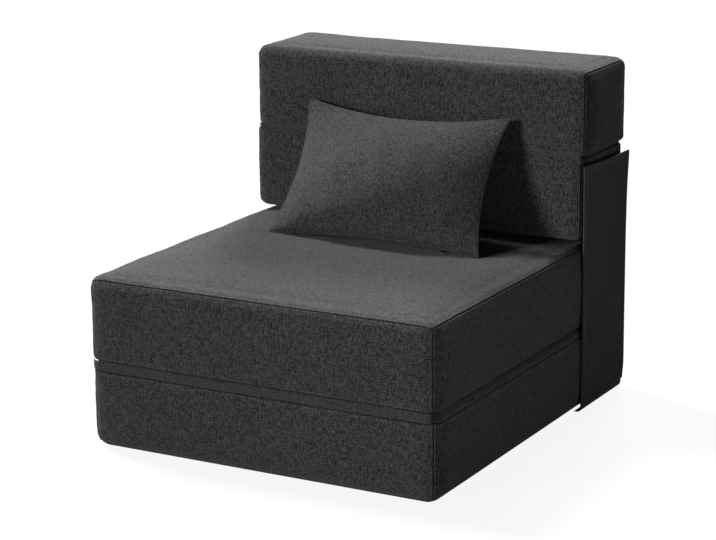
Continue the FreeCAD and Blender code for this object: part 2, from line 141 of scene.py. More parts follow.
def lattice(lines_x, lines_y, lines_z):
    """The outside of a grid: its points, its quads and the side, 0 to 5, that each quad is on.

    The sides are left, right, front, rear, underside and top.
    """
    shape = (len(lines_x), len(lines_y), len(lines_z))
    shell = np.zeros(shape, bool)
    shell[[0, -1]] = True
    shell[:, [0, -1]] = True
    shell[:, :, [0, -1]] = True
    index = -np.ones(shape, int)
    index[shell] = np.arange(shell.sum())
    where = np.nonzero(shell)
    points = np.stack([lines_x[where[0]], lines_y[where[1]], lines_z[where[2]]], 1)
    layers = (
        (index[0], True), (index[-1], False), (index[:, 0], False),
        (index[:, -1], True), (index[:, :, 0], True), (index[:, :, -1], False),
    )
    quads, sides = [], []
    for side, (layer, turned) in enumerate(layers):
        corners = [layer[:-1, :-1], layer[1:, :-1], layer[1:, 1:], layer[:-1, 1:]]
        if turned:
            corners = corners[::-1]
        quads.append(np.stack(corners, -1).reshape(-1, 4))
        sides.append(np.full(len(quads[-1]), side))
    return points, np.concatenate(quads), np.concatenate(sides)


SIDE_AXES = ((1, 2), (1, 2), (0, 2), (0, 2), (0, 1), (0, 1))


def rounded(points, low, high, corner, lower, upper):
    """Lattice points moved onto a box with rounded upright corners and rounded rims."""
    rim = np.where(points[:, 2] > (low[2] + high[2]) / 2, upper, lower)
    plan = points[:, :2]
    core = np.clip(plan, low[:2] + corner, high[:2] - corner)
    away = plan - core
    reach = corner - rim
    length = np.maximum(np.linalg.norm(away, axis=1), 1e-12)
    share = np.minimum(reach / length, 1)
    inner = np.empty_like(points)
    inner[:, :2] = core + away * share[:, None]
    inner[:, 2] = np.clip(points[:, 2], low[2] + lower, high[2] - upper)
    out = points - inner
    out_length = np.maximum(np.linalg.norm(out, axis=1), 1e-12)
    return inner + out * (rim / out_length)[:, None]


def new_mesh(name, points, quads, weave=None):
    """A mesh object. weave gives each face corner's place in the cloth, in metres."""
    mesh = bpy.data.meshes.new(name)
    mesh.from_pydata(np.asarray(points).tolist(), [], np.asarray(quads).tolist())
    if weave is not None:
        layer = mesh.uv_layers.new(name="weave")
        layer.data.foreach_set("uv", np.asarray(weave, np.float32).ravel())
    mesh.update()
    mesh.shade_smooth()
    piece = bpy.data.objects.new(name, mesh)
    bpy.context.scene.collection.objects.link(piece)
    return piece


def lattice_weave(points, quads, sides):
    """Each quad's corners in the plane of its own side of the lattice."""
    axes = np.array(SIDE_AXES)[sides]
    corners = points[quads]
    first = np.take_along_axis(corners, axes[:, None, :1].repeat(4, 1), 2)[..., 0]
    second = np.take_along_axis(corners, axes[:, None, 1:].repeat(4, 1), 2)[..., 0]
    return np.stack([first, second], -1).reshape(-1, 2)


def ring_quads(rings, around, looped=False):
    """Quads between closed rings of points, from each ring to the next."""
    ring, corner = np.meshgrid(
        np.arange(rings if looped else rings - 1), np.arange(around), indexing="ij"
    )
    here, there = ring * around, (ring + 1) % rings * around
    after = (corner + 1) % around
    quads = [here + corner, there + corner, there + after, here + after]
    return np.stack(quads, -1).reshape(-1, 4)


def facing_out(points, quads, weave):
    """Quads and their places in the cloth, made to face out of a closed form."""
    corners = points[quads]
    turn = np.cross(corners[:, 1] - corners[:, 0], corners[:, 2] - corners[:, 0])
    if (turn * (corners[:, 0] - points.mean(0))).sum() < 0:
        return quads[:, ::-1], weave.reshape(-1, 4, 2)[:, ::-1]
    return quads, weave


def set_mesh_points(piece, points):
    """Moves the points of a mesh."""
    piece.data.vertices.foreach_set("co", np.asarray(points, np.float32).ravel())
    piece.data.update()


def mesh_normals(piece):
    """The outward direction at each point of a mesh."""
    flat = np.empty(len(piece.data.vertices) * 3, np.float32)
    piece.data.vertex_normals.foreach_get("vector", flat)
    return flat.reshape(-1, 3).astype(float)


def store(piece, name, values):
    """Keeps a number for each point of a mesh, for its material."""
    layer = piece.data.attributes.new(name, "FLOAT", "POINT")
    layer.data.foreach_set("value", np.asarray(values, np.float32))


def soft_waves(points, wavelength, seed):
    """Gentle unevenness between -1 and 1: a few long waves in seeded directions."""
    rng = np.random.RandomState(seed)
    total = np.zeros(len(points))
    for _ in range(7):
        direction = rng.normal(size=3)
        direction /= np.linalg.norm(direction)
        number = 2 * math.pi / (wavelength * rng.uniform(0.7, 1.5))
        total += np.sin(points @ direction * number + rng.uniform(0, 2 * math.pi))
    return total / 4


def hump(distance, width):
    """1 at no distance, and fading to nothing over about twice the width."""
    return np.exp(-(distance / width) ** 2)


# Cloth

CLOTH_FRAMES = 20
# Foam fills a cover more than the short cloth trial does
FULLNESS = 1.5


def blown_up(points, quads, held, pressure, tension, frames=CLOTH_FRAMES):
    """The points of a cloth cover after air pressure has filled it. held pins points, 0 to 1."""
    piece = new_mesh("cloth_trial", points, quads)
    group = piece.vertex_groups.new(name="held")
    for index in np.nonzero(held > 0)[0]:
        group.add([int(index)], float(held[index]), "REPLACE")
    cloth = piece.modifiers.new("cloth", "CLOTH")
    settings = cloth.settings
    settings.quality = 6
    settings.mass = 0.25
    settings.tension_stiffness = tension
    settings.compression_stiffness = tension
    settings.shear_stiffness = tension / 3
    settings.bending_stiffness = 0.4
    settings.air_damping = 3
    settings.use_pressure = True
    settings.uniform_pressure_force = pressure
    settings.effector_weights.gravity = 0
    if held.any():
        settings.vertex_group_mass = "held"
        settings.pin_stiffness = 5
    cloth.collision_settings.use_collision = False
    cloth.point_cache.frame_start = 1
    cloth.point_cache.frame_end = frames
    scene = bpy.context.scene
    for moment in range(1, frames + 1):
        scene.frame_set(moment)
    view = bpy.context.evaluated_depsgraph_get()
    shaped = piece.evaluated_get(view)
    flat = np.empty(len(shaped.data.vertices) * 3, np.float32)
    shaped.data.vertices.foreach_get("co", flat)
    scene.frame_set(1)
    bpy.data.objects.remove(piece)
    return flat.reshape(-1, 3).astype(float)


def swollen_sides(low, high, corner, lower, upper, caps):
    """How far each side of a stuffed block swells: for each side, its grid lines and heights.

    The cover is blown up as cloth with its sewn edges held, and no side passes its cap.
    """
    edge = np.array([0, 7, 15, 25]) * MM
    lines = [grid_lines(low[axis], high[axis], edge=edge, step=13 * MM) for axis in range(3)]
    points, quads, _ = lattice(*lines)
    formed = rounded(points, low, high, corner, lower, upper)
    on_side = []
    for axis in range(3):
        on_side.append(np.isclose(points[:, axis], low[axis]))
        on_side.append(np.isclose(points[:, axis], high[axis]))
    held = (np.sum(on_side, axis=0) > 1).astype(float)
    moved = blown_up(formed, quads, held, 3.0, 20)
    fields = []
    for side, cap in enumerate(caps):
        axis = side // 2
        first, second = SIDE_AXES[side]
        grid = (len(lines[first]), len(lines[second]))
        members = np.nonzero(on_side[side])[0]
        order = np.lexsort((points[members, second], points[members, first]))
        members = members[order]
        outward = 1 if side % 2 else -1
        height = (moved[members, axis] - formed[members, axis]) * outward * FULLNESS
        if cap > 0:
            height = cap * np.tanh(np.maximum(height, 0) / cap)
        else:
            height = np.zeros(len(members))
        fields.append((lines[first], lines[second], height.reshape(grid)))
    return fields


def field_at(field, first, second):
    """Height of a swollen side at places between its grid lines."""
    lines_first, lines_second, height = field
    row = np.clip(np.searchsorted(lines_first, first) - 1, 0, len(lines_first) - 2)
    column = np.clip(np.searchsorted(lines_second, second) - 1, 0, len(lines_second) - 2)
    along = (first - lines_first[row]) / (lines_first[row + 1] - lines_first[row])
    across = (second - lines_second[column]) / (lines_second[column + 1] - lines_second[column])
    along = along * along * (3 - 2 * along)
    across = across * across * (3 - 2 * across)
    near = height[row, column] * (1 - along) + height[row + 1, column] * along
    far = height[row, column + 1] * (1 - along) + height[row + 1, column + 1] * along
    return near * (1 - across) + far * across


# Sewn blocks

def seam_distance(points, low, high, seams):
    """Distance in the cover of each lattice point from the nearest seam.

    A seam is two side numbers for an edge of the block, or a height for one round its four sides.
    """
    plane = [
        np.abs(points[:, side // 2] - (high if side % 2 else low)[side // 2]) for side in range(6)
    ]
    upright_side = np.minimum(np.minimum(plane[0], plane[1]), np.minimum(plane[2], plane[3])) < 1e-7
    nearest = np.full(len(points), 1.0)
    for seam in seams:
        if isinstance(seam, tuple):
            distance = plane[seam[0]] + plane[seam[1]]
        else:
            distance = np.where(upright_side, np.abs(points[:, 2] - seam), 1.0)
        nearest = np.minimum(nearest, distance)
    return nearest


LEFT, RIGHT, FRONT, REAR, UNDER, TOP = range(6)
UPRIGHT_SEAMS = [(LEFT, FRONT), (RIGHT, FRONT), (LEFT, REAR), (RIGHT, REAR)]
TOP_SEAMS = [(LEFT, TOP), (RIGHT, TOP), (FRONT, TOP), (REAR, TOP)]
UNDER_SEAMS = [(LEFT, UNDER), (RIGHT, UNDER), (FRONT, UNDER), (REAR, UNDER)]
END_PANEL_SEAMS = UPRIGHT_SEAMS + [(LEFT, TOP), (RIGHT, TOP), (LEFT, UNDER), (RIGHT, UNDER)]

ZIP_HALF_LENGTH = 322.5 * MM
ZIP_HALF_HEIGHT = 15 * MM


def block_piece(name, node, corner, lower, upper, caps, seams, seed, slack, painted_shade_ends):
    """A sewn and stuffed cover in the space of its CAD solid, with a placket for its zip.

    slack is how far its left end, its right end and its top stand out further. The last argument
    marks end panels that get painted shade, darker than the rest of the cloth.
    """
    low, high = node_box(node)
    low[0] -= slack[0]
    high[0] += slack[1]
    high[2] += slack[2]
    tape_low, tape_high = node_box(node.replace("cover", "zip_tape"))
    zip_height = (tape_low[2] + tape_high[2]) / 2
    for side, cap in enumerate(caps):
        (high if side % 2 else low)[side // 2] += -cap if side % 2 else cap
    levels = [seam for seam in seams if not isinstance(seam, tuple)]
    lines = (
        grid_lines(low[0], high[0], extra=(-ZIP_HALF_LENGTH, ZIP_HALF_LENGTH)),
        grid_lines(low[1], high[1]),
        grid_lines(
            low[2], high[2],
            extra=(zip_height - ZIP_HALF_HEIGHT, zip_height + ZIP_HALF_HEIGHT, *levels),
        ),
    )
    points, quads, sides = lattice(*lines)
    formed = rounded(points, low, high, corner, lower, upper)
    fields = swollen_sides(low, high, corner, lower, upper, caps)
    for side, field in enumerate(fields):
        first, second = SIDE_AXES[side]
        height = field_at(field, points[:, first], points[:, second])
        end = (high if side % 2 else low)[side // 2]
        on_side = np.abs(points[:, side // 2] - end) < 1e-7
        formed[:, side // 2] += np.where(on_side, height * (1 if side % 2 else -1), 0)

    piece = new_mesh(name, formed, quads, lattice_weave(points, quads, sides))
    normals = mesh_normals(piece)
    seam = seam_distance(points, low, high, seams)
    exposed = np.ones(len(points))
    for side, cap in enumerate(caps):
        end = (high if side % 2 else low)[side // 2]
        near_end = hump(np.abs(formed[:, side // 2] - end), 12 * MM)
        if cap == 0:
            exposed *= 1 - near_end
    relief = 0.7 * MM * soft_waves(points, 130 * MM, seed) * exposed
    relief += 0.22 * MM * soft_waves(points, 34 * MM, seed + 1) * exposed
    gather = soft_waves(points, 15 * MM, seed + 2)
    relief += 0.45 * MM * gather * hump(np.maximum(seam - 5 * MM, 0), 9 * MM) * exposed
    relief += -2.2 * MM * hump(seam, 1.5 * MM) + 0.9 * MM * hump(seam - 4.2 * MM, 2.2 * MM)
    formed = formed + normals * relief[:, None]

    in_placket = np.abs(points[:, 1] - high[1]) < 1e-7
    in_placket &= np.abs(points[:, 0]) < ZIP_HALF_LENGTH + 0.1 * MM
    in_placket &= np.abs(points[:, 2] - zip_height) < ZIP_HALF_HEIGHT + 0.1 * MM
    formed[in_placket, 1] = tape_low[1] - 0.4 * MM
    set_mesh_points(piece, formed)
    # Painted shade and a little dust in the seam grooves, and a painted highlight on the welt
    # ridges beside them
    store(piece, "seam", hump(seam, 1.9 * MM))
    store(piece, "welt_highlight", hump(seam - 4.4 * MM, 2.0 * MM))
    # End panels of the back and headrest get painted shade
    at_end = np.minimum(np.abs(points[:, 0] - low[0]), np.abs(points[:, 0] - high[0])) < 1e-7
    store(piece, "end_panel_shade", at_end & painted_shade_ends)
    return piece


# The cover stands this much further off its foam than in the solids, where it is drawn in
CORE_SLACK = np.array([7, 5, 4]) * MM


def plain_core(name, node, corner, lower, upper):
    """The foam block inside a cover."""
    low, high = node_box(node)
    low += CORE_SLACK
    high -= CORE_SLACK
    edge = np.array([0, 3, 7, 12, 18, 25]) * MM
    lines = [grid_lines(low[axis], high[axis], edge=edge, step=40 * MM) for axis in range(3)]
    points, quads, sides = lattice(*lines)
    formed = rounded(points, low, high, corner, lower, upper)
    return new_mesh(name, formed, quads, lattice_weave(points, quads, sides))


def base_seams():
    """Seams of the base cover: upright at the corners, and one round it under its top rim."""
    return UPRIGHT_SEAMS + [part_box("base_cover")[1][2] - 15.5 * MM]


# Block, upright corner, lower rim, upper rim, swelling of each side and slack of the ends and top
# in millimetres, and seams
BLOCKS = (
    ("base", 31, 27, 15, (12, 4, 3, 3, 0, 0), (13, 0, 0), base_seams()),
    ("seat", 31, 9, 22, (14, 5, 3, 3, 0, 6), (17, 0, 0), UPRIGHT_SEAMS + TOP_SEAMS + UNDER_SEAMS),
    ("back", 23, 20, 11, (7, 3, 3, 3, 0, 0), (11, 0, 0), END_PANEL_SEAMS),
    ("headrest", 23, 11, 21, (6, 6, 3, 3, 0, 8), (6, 8, 6), END_PANEL_SEAMS),
)
covers = {}
for seed, (block, corner, lower, upper, caps, slack, seams) in enumerate(BLOCKS):
    cover = block_piece(
        f"{block}_fabric_cover", f"{block}_cover", corner * MM, lower * MM, upper * MM,
        [cap * MM for cap in caps], seams, 11 + 7 * seed, [end * MM for end in slack],
        # The ends of the back and headrest get painted shade
        painted_shade_ends=block in ("back", "headrest"),
    )
    belongs(cover, block, f"{block}_cover")
    covers[block] = cover
    core = plain_core(
        f"{block}_foam_block", f"{block}_foam_core", (corner - 5) * MM, max(lower - 5, 2) * MM,
        max(upper - 5, 2) * MM,
    )
    belongs(core, block, f"{block}_foam_core")
    if block == "headrest":
        # The headrest's cover and foam get meshes of their own; folded down on the seat, its foam
        # gives way a little, which is not shaped here
        for soft in (cover, core):
            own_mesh(soft)
    covers[block + "_core"] = core


# Pillow

PILLOW_LEAN = math.radians(34)
PILLOW_ACROSS = np.array([1.0, 0, 0])
PILLOW_UP = np.array([0, math.sin(PILLOW_LEAN), math.cos(PILLOW_LEAN)])
PILLOW_OUT = np.cross(PILLOW_ACROSS, PILLOW_UP)
PILLOW_HALF_THICKNESS = 69 * MM
PILLOW_MIDDLE = np.array([0.002, 0.1012, 0.4478])
# Half the width and height of the flat lattice that the pillow is made from
SHEET_X, SHEET_Y = 0.236, 0.156


def to_pillow_place(local):
    """Points of the pillow lying flat, moved to where it leans."""
    axes = np.stack([PILLOW_ACROSS, PILLOW_UP, PILLOW_OUT])
    return local @ axes + PILLOW_MIDDLE


PILLOW_CORNERS = np.array([[-225, -145], [223, -145], [-221, 138], [212, 135]]) * MM
# How far its left, right, lower and upper sides are drawn in between the corners
PILLOW_DRAW = (22 * MM, 20 * MM, 13 * MM, 25 * MM)


def pillow_form():
    """The stuffed pillow lying flat: two sheets joined round their edge and blown up as cloth."""
    edge = np.array([0, 1.2, 3, 5.5, 9, 13, 18]) * MM
    across = grid_lines(-SHEET_X, SHEET_X, edge=edge, step=5.4 * MM)
    along = grid_lines(-SHEET_Y, SHEET_Y, edge=edge, step=5.4 * MM)
    points, quads, sides = lattice(across, along, np.array([-0.4, 0.4]) * MM)
    s, t = points[:, 0] / SHEET_X, points[:, 1] / SHEET_Y
    shares = column((1 - s) * (1 - t), (1 + s) * (1 - t), (1 - s) * (1 + t), (1 + s) * (1 + t)) / 4
    start = points.copy()
    start[:, :2] = shares @ PILLOW_CORNERS
    left, right, lower, upper = PILLOW_DRAW
    start[:, 0] += (1 - t**2) * (left * (1 - s) - right * (1 + s)) / 2
    start[:, 1] += (1 - s**2) * (lower * (1 - t) - upper * (1 + t)) / 2
    rise = np.clip(1 - s**2, 0, 1) ** 0.95
    rise = rise * np.clip(1 - t**2, 0, 1) ** (0.78 + 0.25 * np.tanh(2 * t))
    uneven = 1 + 0.05 * soft_waves(points * [1, 1, 0], 90 * MM, 3)
    height = 0.5 * MM + PILLOW_HALF_THICKNESS * 0.82 * rise * uneven * (1 - 0.16 * t)
    start[:, 2] = np.sign(points[:, 2]) * height
    rim = (np.abs(s) > 0.9999) | (np.abs(t) > 0.9999)
    filled = blown_up(start, quads, rim.astype(float), 5, 8, frames=16)
    filled[:, 2] *= PILLOW_HALF_THICKNESS / np.abs(filled[:, 2]).max()
    return points, filled, quads, sides


flat_points, filled_points, pillow_quads, pillow_sides = pillow_form()
flat_x, flat_y, flat_z = flat_points.T
edge_x, edge_y = SHEET_X - np.abs(flat_x), SHEET_Y - np.abs(flat_y)
edge_distance = np.minimum(edge_x, edge_y)
# Puckers where the cloth is gathered at the seam, strongest in the lower right corner
place_round = np.where(edge_x < edge_y, flat_y + 7, flat_x)
lower_right = hump(np.hypot(flat_x - 0.2, flat_y + 0.13) / 0.09, 1)
lower_edge = hump(flat_y + SHEET_Y, 50 * MM)
gather = np.sin(place_round * 300 + 3 * np.sin(place_round * 47)) * np.sin(place_round * 71 + 1)
gather *= hump(np.maximum(edge_distance - 3 * MM, 0), 22 * MM)
gather *= np.minimum(edge_distance / (5 * MM), 1)
gather *= 0.35 + 0.9 * lower_edge + 1.3 * lower_right
gather *= np.clip(np.abs(filled_points[:, 2]) / (14 * MM), 0, 1)
filled_points[:, 2] += np.sign(flat_z) * 1.3 * MM * gather
pillow_weave = lattice_weave(flat_points, pillow_quads, pillow_sides)
pillow = new_mesh(
    "pillow_fabric_cover", to_pillow_place(filled_points), pillow_quads, pillow_weave
)
# Painted shade and a little dust in a band just inside the pillow's seam, and a painted highlight
# along its edge
store(pillow, "seam", 0.5 * hump(np.maximum(edge_distance - 3 * MM, 0), 2 * MM))
store(pillow, "welt_highlight", 1.5 * hump(edge_distance, 1.8 * MM))
belongs(pillow, "pillow", "pillow_cover")


# Folds and tapes


def strip(name, along, across, thickness, place):
    """A strip of cloth. place gives the point and the outward direction of each place on it."""
    points, quads, sides = lattice(along, across, np.array([0, thickness]))
    middle, outward = place(points[:, 0], points[:, 1])
    formed = middle + outward * points[:, 2:]
    quads, weave = facing_out(formed, quads, lattice_weave(points, quads, sides))
    return new_mesh(name, formed, quads, weave)


# Height of the middle of the front fold, and half its strip's width
FRONT_FOLD_LEVEL, FRONT_FOLD_HALF = 0.1585, 9 * MM


def front_band_place(along, height):
    """The fold at the front: flat on the block fronts, and round both corners a little way."""
    flat_end, centre_y, radius = 0.329, -0.3712, 28.0 * MM
    turn = np.sign(along) * np.clip((np.abs(along) - flat_end) / radius, 0, 1.3)
    bulge = 0.9 * MM * (1 - ((height - FRONT_FOLD_LEVEL) / FRONT_FOLD_HALF) ** 2)
    bulge += 0.25 * MM * np.sin(along * 61) - 1.5 * MM - 2.5 * MM * np.abs(turn)
    reach = radius + bulge
    x = np.clip(along, -flat_end, flat_end) + reach * np.sin(turn)
    y = centre_y - reach * np.cos(turn)
    outward = column(np.sin(turn), -np.cos(turn), 0)
    return column(x, y, height + 0.35 * MM * np.sin(along * 23 + 1)), outward


def flat_band_place(level, facing, bulge):
    """A fold on a flat face at y = level: facing is -1 at the front and 1 at the rear."""
    def place(along, height):
        share = (height - height.mean()) / (np.ptp(height) / 2)
        y = level + facing * bulge * (1 - share**2)
        return column(along, y, height), column(0, facing, 0 * height)
    return place


def panel_fold_place(along, up):
    """The fold of the side panel: under the base, then up the inner face of the panel."""
    flat, radius = 5 * MM, 11.5 * MM
    turn = np.clip((up - flat) / radius, 0, math.pi / 2)
    rest = np.maximum(up - flat - radius * math.pi / 2, 0)
    x = 0.3400 + np.minimum(up, flat) + radius * np.sin(turn) - 0.2 * MM
    z = 0.4 * MM + radius * (1 - np.cos(turn)) + rest
    return column(x, along, z), column(-np.sin(turn), 0, np.cos(turn))


def sewn_fold(piece, fold, before, after, start, end):
    """Keeps a strip where it lies, and lets it stand for its leaf on either body."""
    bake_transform(piece)
    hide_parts(f"{fold}_{before}_leaf", f"{fold}_{after.removeprefix('side_')}_leaf")


band_across = np.array([0, 0.8, 2, 4.5, 9, 13.5, 16, 17.2, 18]) * MM
FRONT_FOLD_BEND = (0, -0.4, 0.1495), (0, -0.4, 0.1675)
front_band = strip(
    "front_fold_band", np.linspace(-0.3560, 0.343, 135), 0.1495 + band_across, 0.8 * MM,
    front_band_place,
)
sewn_fold(front_band, "front_fold", "base", "seat", *FRONT_FOLD_BEND)

rear_band = strip(
    "rear_fold_band", np.linspace(-0.327, 0.327, 90), 0.312 + band_across * 2, 0.8 * MM,
    flat_band_place(0.3986, 1, 0.6 * MM),
)
sewn_fold(rear_band, "rear_fold", "seat", "back", (0, 0.4, 0.314), (0, 0.4, 0.346))

headrest_band = strip(
    "headrest_fold_band", np.linspace(-0.347, 0.345, 90), 0.4865 + band_across * 0.67, 0.7 * MM,
    flat_band_place(0.2035, -1, 0.8 * MM),
)
sewn_fold(
    headrest_band, "headrest_fold", "back", "headrest", (0, 0.195, 0.4875), (0, 0.195, 0.4975)
)

panel_fold = strip(
    "panel_fold_strip", np.linspace(0.199, 0.387, 40),
    np.concatenate([[0, 2.5], np.linspace(5, 5 + 11.5 * math.pi / 2, 9), [26, 30, 34, 38]]) * MM,
    0.5 * MM, panel_fold_place,
)
sewn_fold(
    panel_fold, "panel_fold", "base", "side_panel", (0.346, 0.3, 0.001), (0.3565, 0.3, 0.011)
)


# Side panel

hem_low, hem_high = node_box("side_panel_binding")
PANEL_MIDDLE = (hem_low[0] + hem_high[0]) / 2


def panel_place(points):
    """Points of the flat side panel, moved to its wavy cloth with its drawn rear corners."""
    off, y, z = points.T
    up = (z - hem_low[2]) / (hem_high[2] - hem_low[2])
    foot = hump(np.hypot(z - hem_low[2], y - hem_high[1]), 26 * MM)
    rearward = (y - hem_low[1]) / (hem_high[1] - hem_low[1])
    wave = 0.5 * MM * np.sin(5.2 * up + 2.2 * rearward + 0.4) * np.sin(math.pi * up)
    wave += 0.35 * MM * np.sin(11 * up - 3 * rearward) * (0.3 + 0.7 * up)
    wave += 1.1 * MM * hump(np.hypot(up - 1, rearward - 1), 0.12)
    tip = hump(np.hypot((z - hem_high[2]) / 0.04, (y - hem_high[1]) / 0.04), 1)
    y_out = y + 3.0 * MM * tip - 1.5 * MM * np.sin(math.pi * up) * (rearward * 2 - 1)
    y_out -= 8.0 * MM * rearward + 6 * MM * foot
    z_out = z + 1.5 * MM * tip - 1.0 * MM * np.sin(math.pi * rearward) * up**8
    z_out += 7.0 * MM * (1 - rearward) * up**3 + 6 * MM * (1 - up) ** 6 + 5 * MM * foot
    return column(PANEL_MIDDLE + wave + off, y_out, z_out)


def stitches(name, middles, along, outward, length=2.4 * MM, width=0.55 * MM):
    """A row of stitches lying on a surface, as one mesh of small rounded threads."""
    rings, around = 5, 6
    share = np.linspace(-1, 1, rings).repeat(around)
    angle = np.tile(np.arange(around) * 2 * math.pi / around, rings)
    thick = width / 2 * np.sqrt(np.maximum(1 - share**2, 0.04))
    local = column(
        share * length / 2, thick * np.cos(angle), thick * np.sin(angle) - 0.35 * width * share**2
    )
    axes = np.stack([along, np.cross(along, outward), outward], 1)
    points = middles[:, None] + local @ axes
    last = (rings - 1) * around
    ends = [(3, 2, 1, 0), (5, 4, 3, 0)]
    ends += [(last, last + 1, last + 2, last + 3), (last, last + 3, last + 4, last + 5)]
    quads = np.concatenate([ring_quads(rings, around), ends])
    quads = quads + len(local) * np.arange(len(middles))[:, None, None]
    return new_mesh(name, points.reshape(-1, 3), quads.reshape(-1, 4))


def joined_away(piece, *others):
    """Others merged into one mesh with the piece."""
    for thing in bpy.context.view_layer.objects:
        thing.select_set(False)
    for other in others:
        other.select_set(True)
    piece.select_set(True)
    bpy.context.view_layer.objects.active = piece
    bpy.ops.object.join()
    piece.select_set(False)


points, quads, sides = lattice(
    np.array([-1.1, 1.1]) * MM,
    grid_lines(hem_low[1] + 3 * MM, hem_high[1] - 3 * MM, step=5 * MM),
    grid_lines(hem_low[2] + 3 * MM, hem_high[2] - 3 * MM),
)
place = panel_place(points)
hem_distance = np.minimum.reduce([
    points[:, 1] - hem_low[1], hem_high[1] - points[:, 1],
    points[:, 2] - hem_low[2], hem_high[2] - points[:, 2],
])
side_of_sheet = np.sign(points[:, 0])
place[:, 0] += side_of_sheet * (0.35 * MM * soft_waves(points, 90 * MM, 71))
place[:, 0] += side_of_sheet * 0.5 * MM * (1 - hump(np.maximum(hem_distance - 13 * MM, 0), 12 * MM))
panel = new_mesh("side_panel_cloth", place, quads, lattice_weave(points, quads, sides))
belongs(panel, "side_panel", "side_panel_fabric")

HEM = 12.5 * MM


def hem_strip(outline):
    """The binding round the panel: outline gives distance inward and out of the face, in a U."""
    radius, corner_steps = 3 * MM, 6
    corners = [
        (hem_low[1], hem_low[2], -1, -1), (hem_high[1], hem_low[2], 1, -1),
        (hem_high[1], hem_high[2], 1, 1), (hem_low[1], hem_high[2], -1, 1),
    ]
    centres = [np.array([y - out_y * radius, z - out_z * radius]) for y, z, out_y, out_z in corners]
    points, weave, path = [], [], []
    for number, (y, z, out_y, out_z) in enumerate(corners):
        centre, next_centre = centres[number], centres[(number + 1) % 4]
        first = (number - 2) * math.pi / 2
        for step in range(corner_steps):
            angle = first + step / (corner_steps - 1) * math.pi / 2
            path.append((*centre, math.cos(angle), math.sin(angle), out_y, out_z))
        span = np.abs(next_centre - centre).sum()
        steps = int(span / (5 * MM))
        angle = first + math.pi / 2
        for step in range(1, steps):
            here = centre + (next_centre - centre) * (step / steps)
            path.append((*here, math.cos(angle), math.sin(angle), 0, 0))
    distance = 0
    for number, (y, z, out_y, out_z, corner_y, corner_z) in enumerate(path):
        if number:
            distance += math.hypot(y - path[number - 1][0], z - path[number - 1][1])
        for inward, offset in outline:
            if corner_y:
                # Mitred corner: the inner edge of the binding stays square
                pull = max(inward - radius, 0)
                at = (y - corner_y * pull, z - corner_z * pull)
                out = radius - min(inward, radius)
            else:
                at = (y, z)
                out = radius - inward
            points.append((offset, at[0] + out_y * out, at[1] + out_z * out))
            weave.append((distance, inward))
    place = panel_place(np.array(points))
    quads = ring_quads(len(path), len(outline), looped=True)
    return new_mesh("side_panel_hem", place, *facing_out(place, quads, np.array(weave)[quads]))


hem_outline = [
    (HEM * 1.0, 1.15), (HEM * 0.985, 1.75), (HEM * 0.9, 1.95), (HEM * 0.5, 2.0), (2.2 * MM, 2.0),
    (0.9 * MM, 1.7), (0.2 * MM, 1.0), (0, 0), (0.2 * MM, -1.0), (0.9 * MM, -1.7), (2.2 * MM, -2.0),
    (HEM * 0.5, -2.0), (HEM * 0.9, -1.95), (HEM * 0.985, -1.75), (HEM * 1.0, -1.15),
]
hem = hem_strip([(inward, offset * MM) for inward, offset in hem_outline])
belongs(hem, "side_panel", "side_panel_binding")

# Rows of stitches along the binding's inner edge: their step, and how far off the middle they lie
STITCH_STEP = 4.2 * MM
row_y = np.arange(hem_low[1] + HEM, hem_high[1] - HEM, STITCH_STEP)
row_z = np.arange(hem_low[2] + HEM, hem_high[2] - HEM, STITCH_STEP)
inset = HEM - 2.2 * MM
rest = 2.05 * MM
lying = [column(rest, row_y, level) for level in (hem_low[2] + inset, hem_high[2] - inset)]
upright = [column(rest, level, row_z) for level in (hem_low[1] + inset, hem_high[1] - inset)]
along = np.repeat([Y, Z], [2 * len(row_y), 2 * len(row_z)], axis=0)
hem_stitches = stitches(
    "side_panel_hem_stitches", panel_place(np.concatenate(lying + upright)), along,
    np.broadcast_to(X, along.shape),
)
belongs(hem_stitches, "side_panel")


def gripping_tape(name, node, body, facing, looped):
    """A hook or loop tape: a thin backing, and rows of small hooks or loops that stand on it."""
    low, high = node_box(node)
    step = 1.5 * MM
    lines_y = np.arange(low[1], high[1] + step / 2, step)
    lines_z = np.arange(low[2], high[2] + step / 2, step)
    middle = (low[0] + high[0]) / 2
    points, quads, _ = lattice(np.array([low[0], middle]), lines_y, lines_z)
    if facing < 0:
        points[:, 0] = low[0] + high[0] - points[:, 0]
        quads = quads[:, ::-1]
    tape = new_mesh(name + "_backing", points, quads)
    grid_y, grid_z = np.meshgrid(lines_y[1:-1], lines_z[1:-1])
    rng = np.random.RandomState(5)
    root = column(middle, grid_y.ravel(), grid_z.ravel())
    root[:, 1:] += rng.uniform(-0.3, 0.3, (len(root), 2)) * MM
    turn = rng.uniform(0, 2 * math.pi, len(root)) if looped else np.zeros(len(root))
    side = column(0, np.cos(turn), np.sin(turn))
    wide = column(0, -np.sin(turn), np.cos(turn)) * 0.16 * MM
    hooks = []
    for reach, rise in ((-0.25, 0.0), (-0.3, 0.7), (0.0, 1.0), (0.35, 0.75)):
        centre = root + side * reach * MM + X * facing * (high[0] - low[0]) / 2 * rise
        hooks += [centre - wide, centre + wide]
    faces = [(0, 1, 3, 2), (2, 3, 5, 4), (4, 5, 7, 6)] + 8 * np.arange(len(root))[:, None, None]
    pile = new_mesh(name, np.stack(hooks, 1).reshape(-1, 3), faces.reshape(-1, 4))
    joined_away(pile, tape)
    belongs(pile, body, node)
    return pile


hook_tape = gripping_tape("side_panel_hooks", "side_panel_hook_tape", "side_panel", -1, False)
loop_tape = gripping_tape("back_block_loops", "back_loop_tape", "back", 1, True)


# Zips


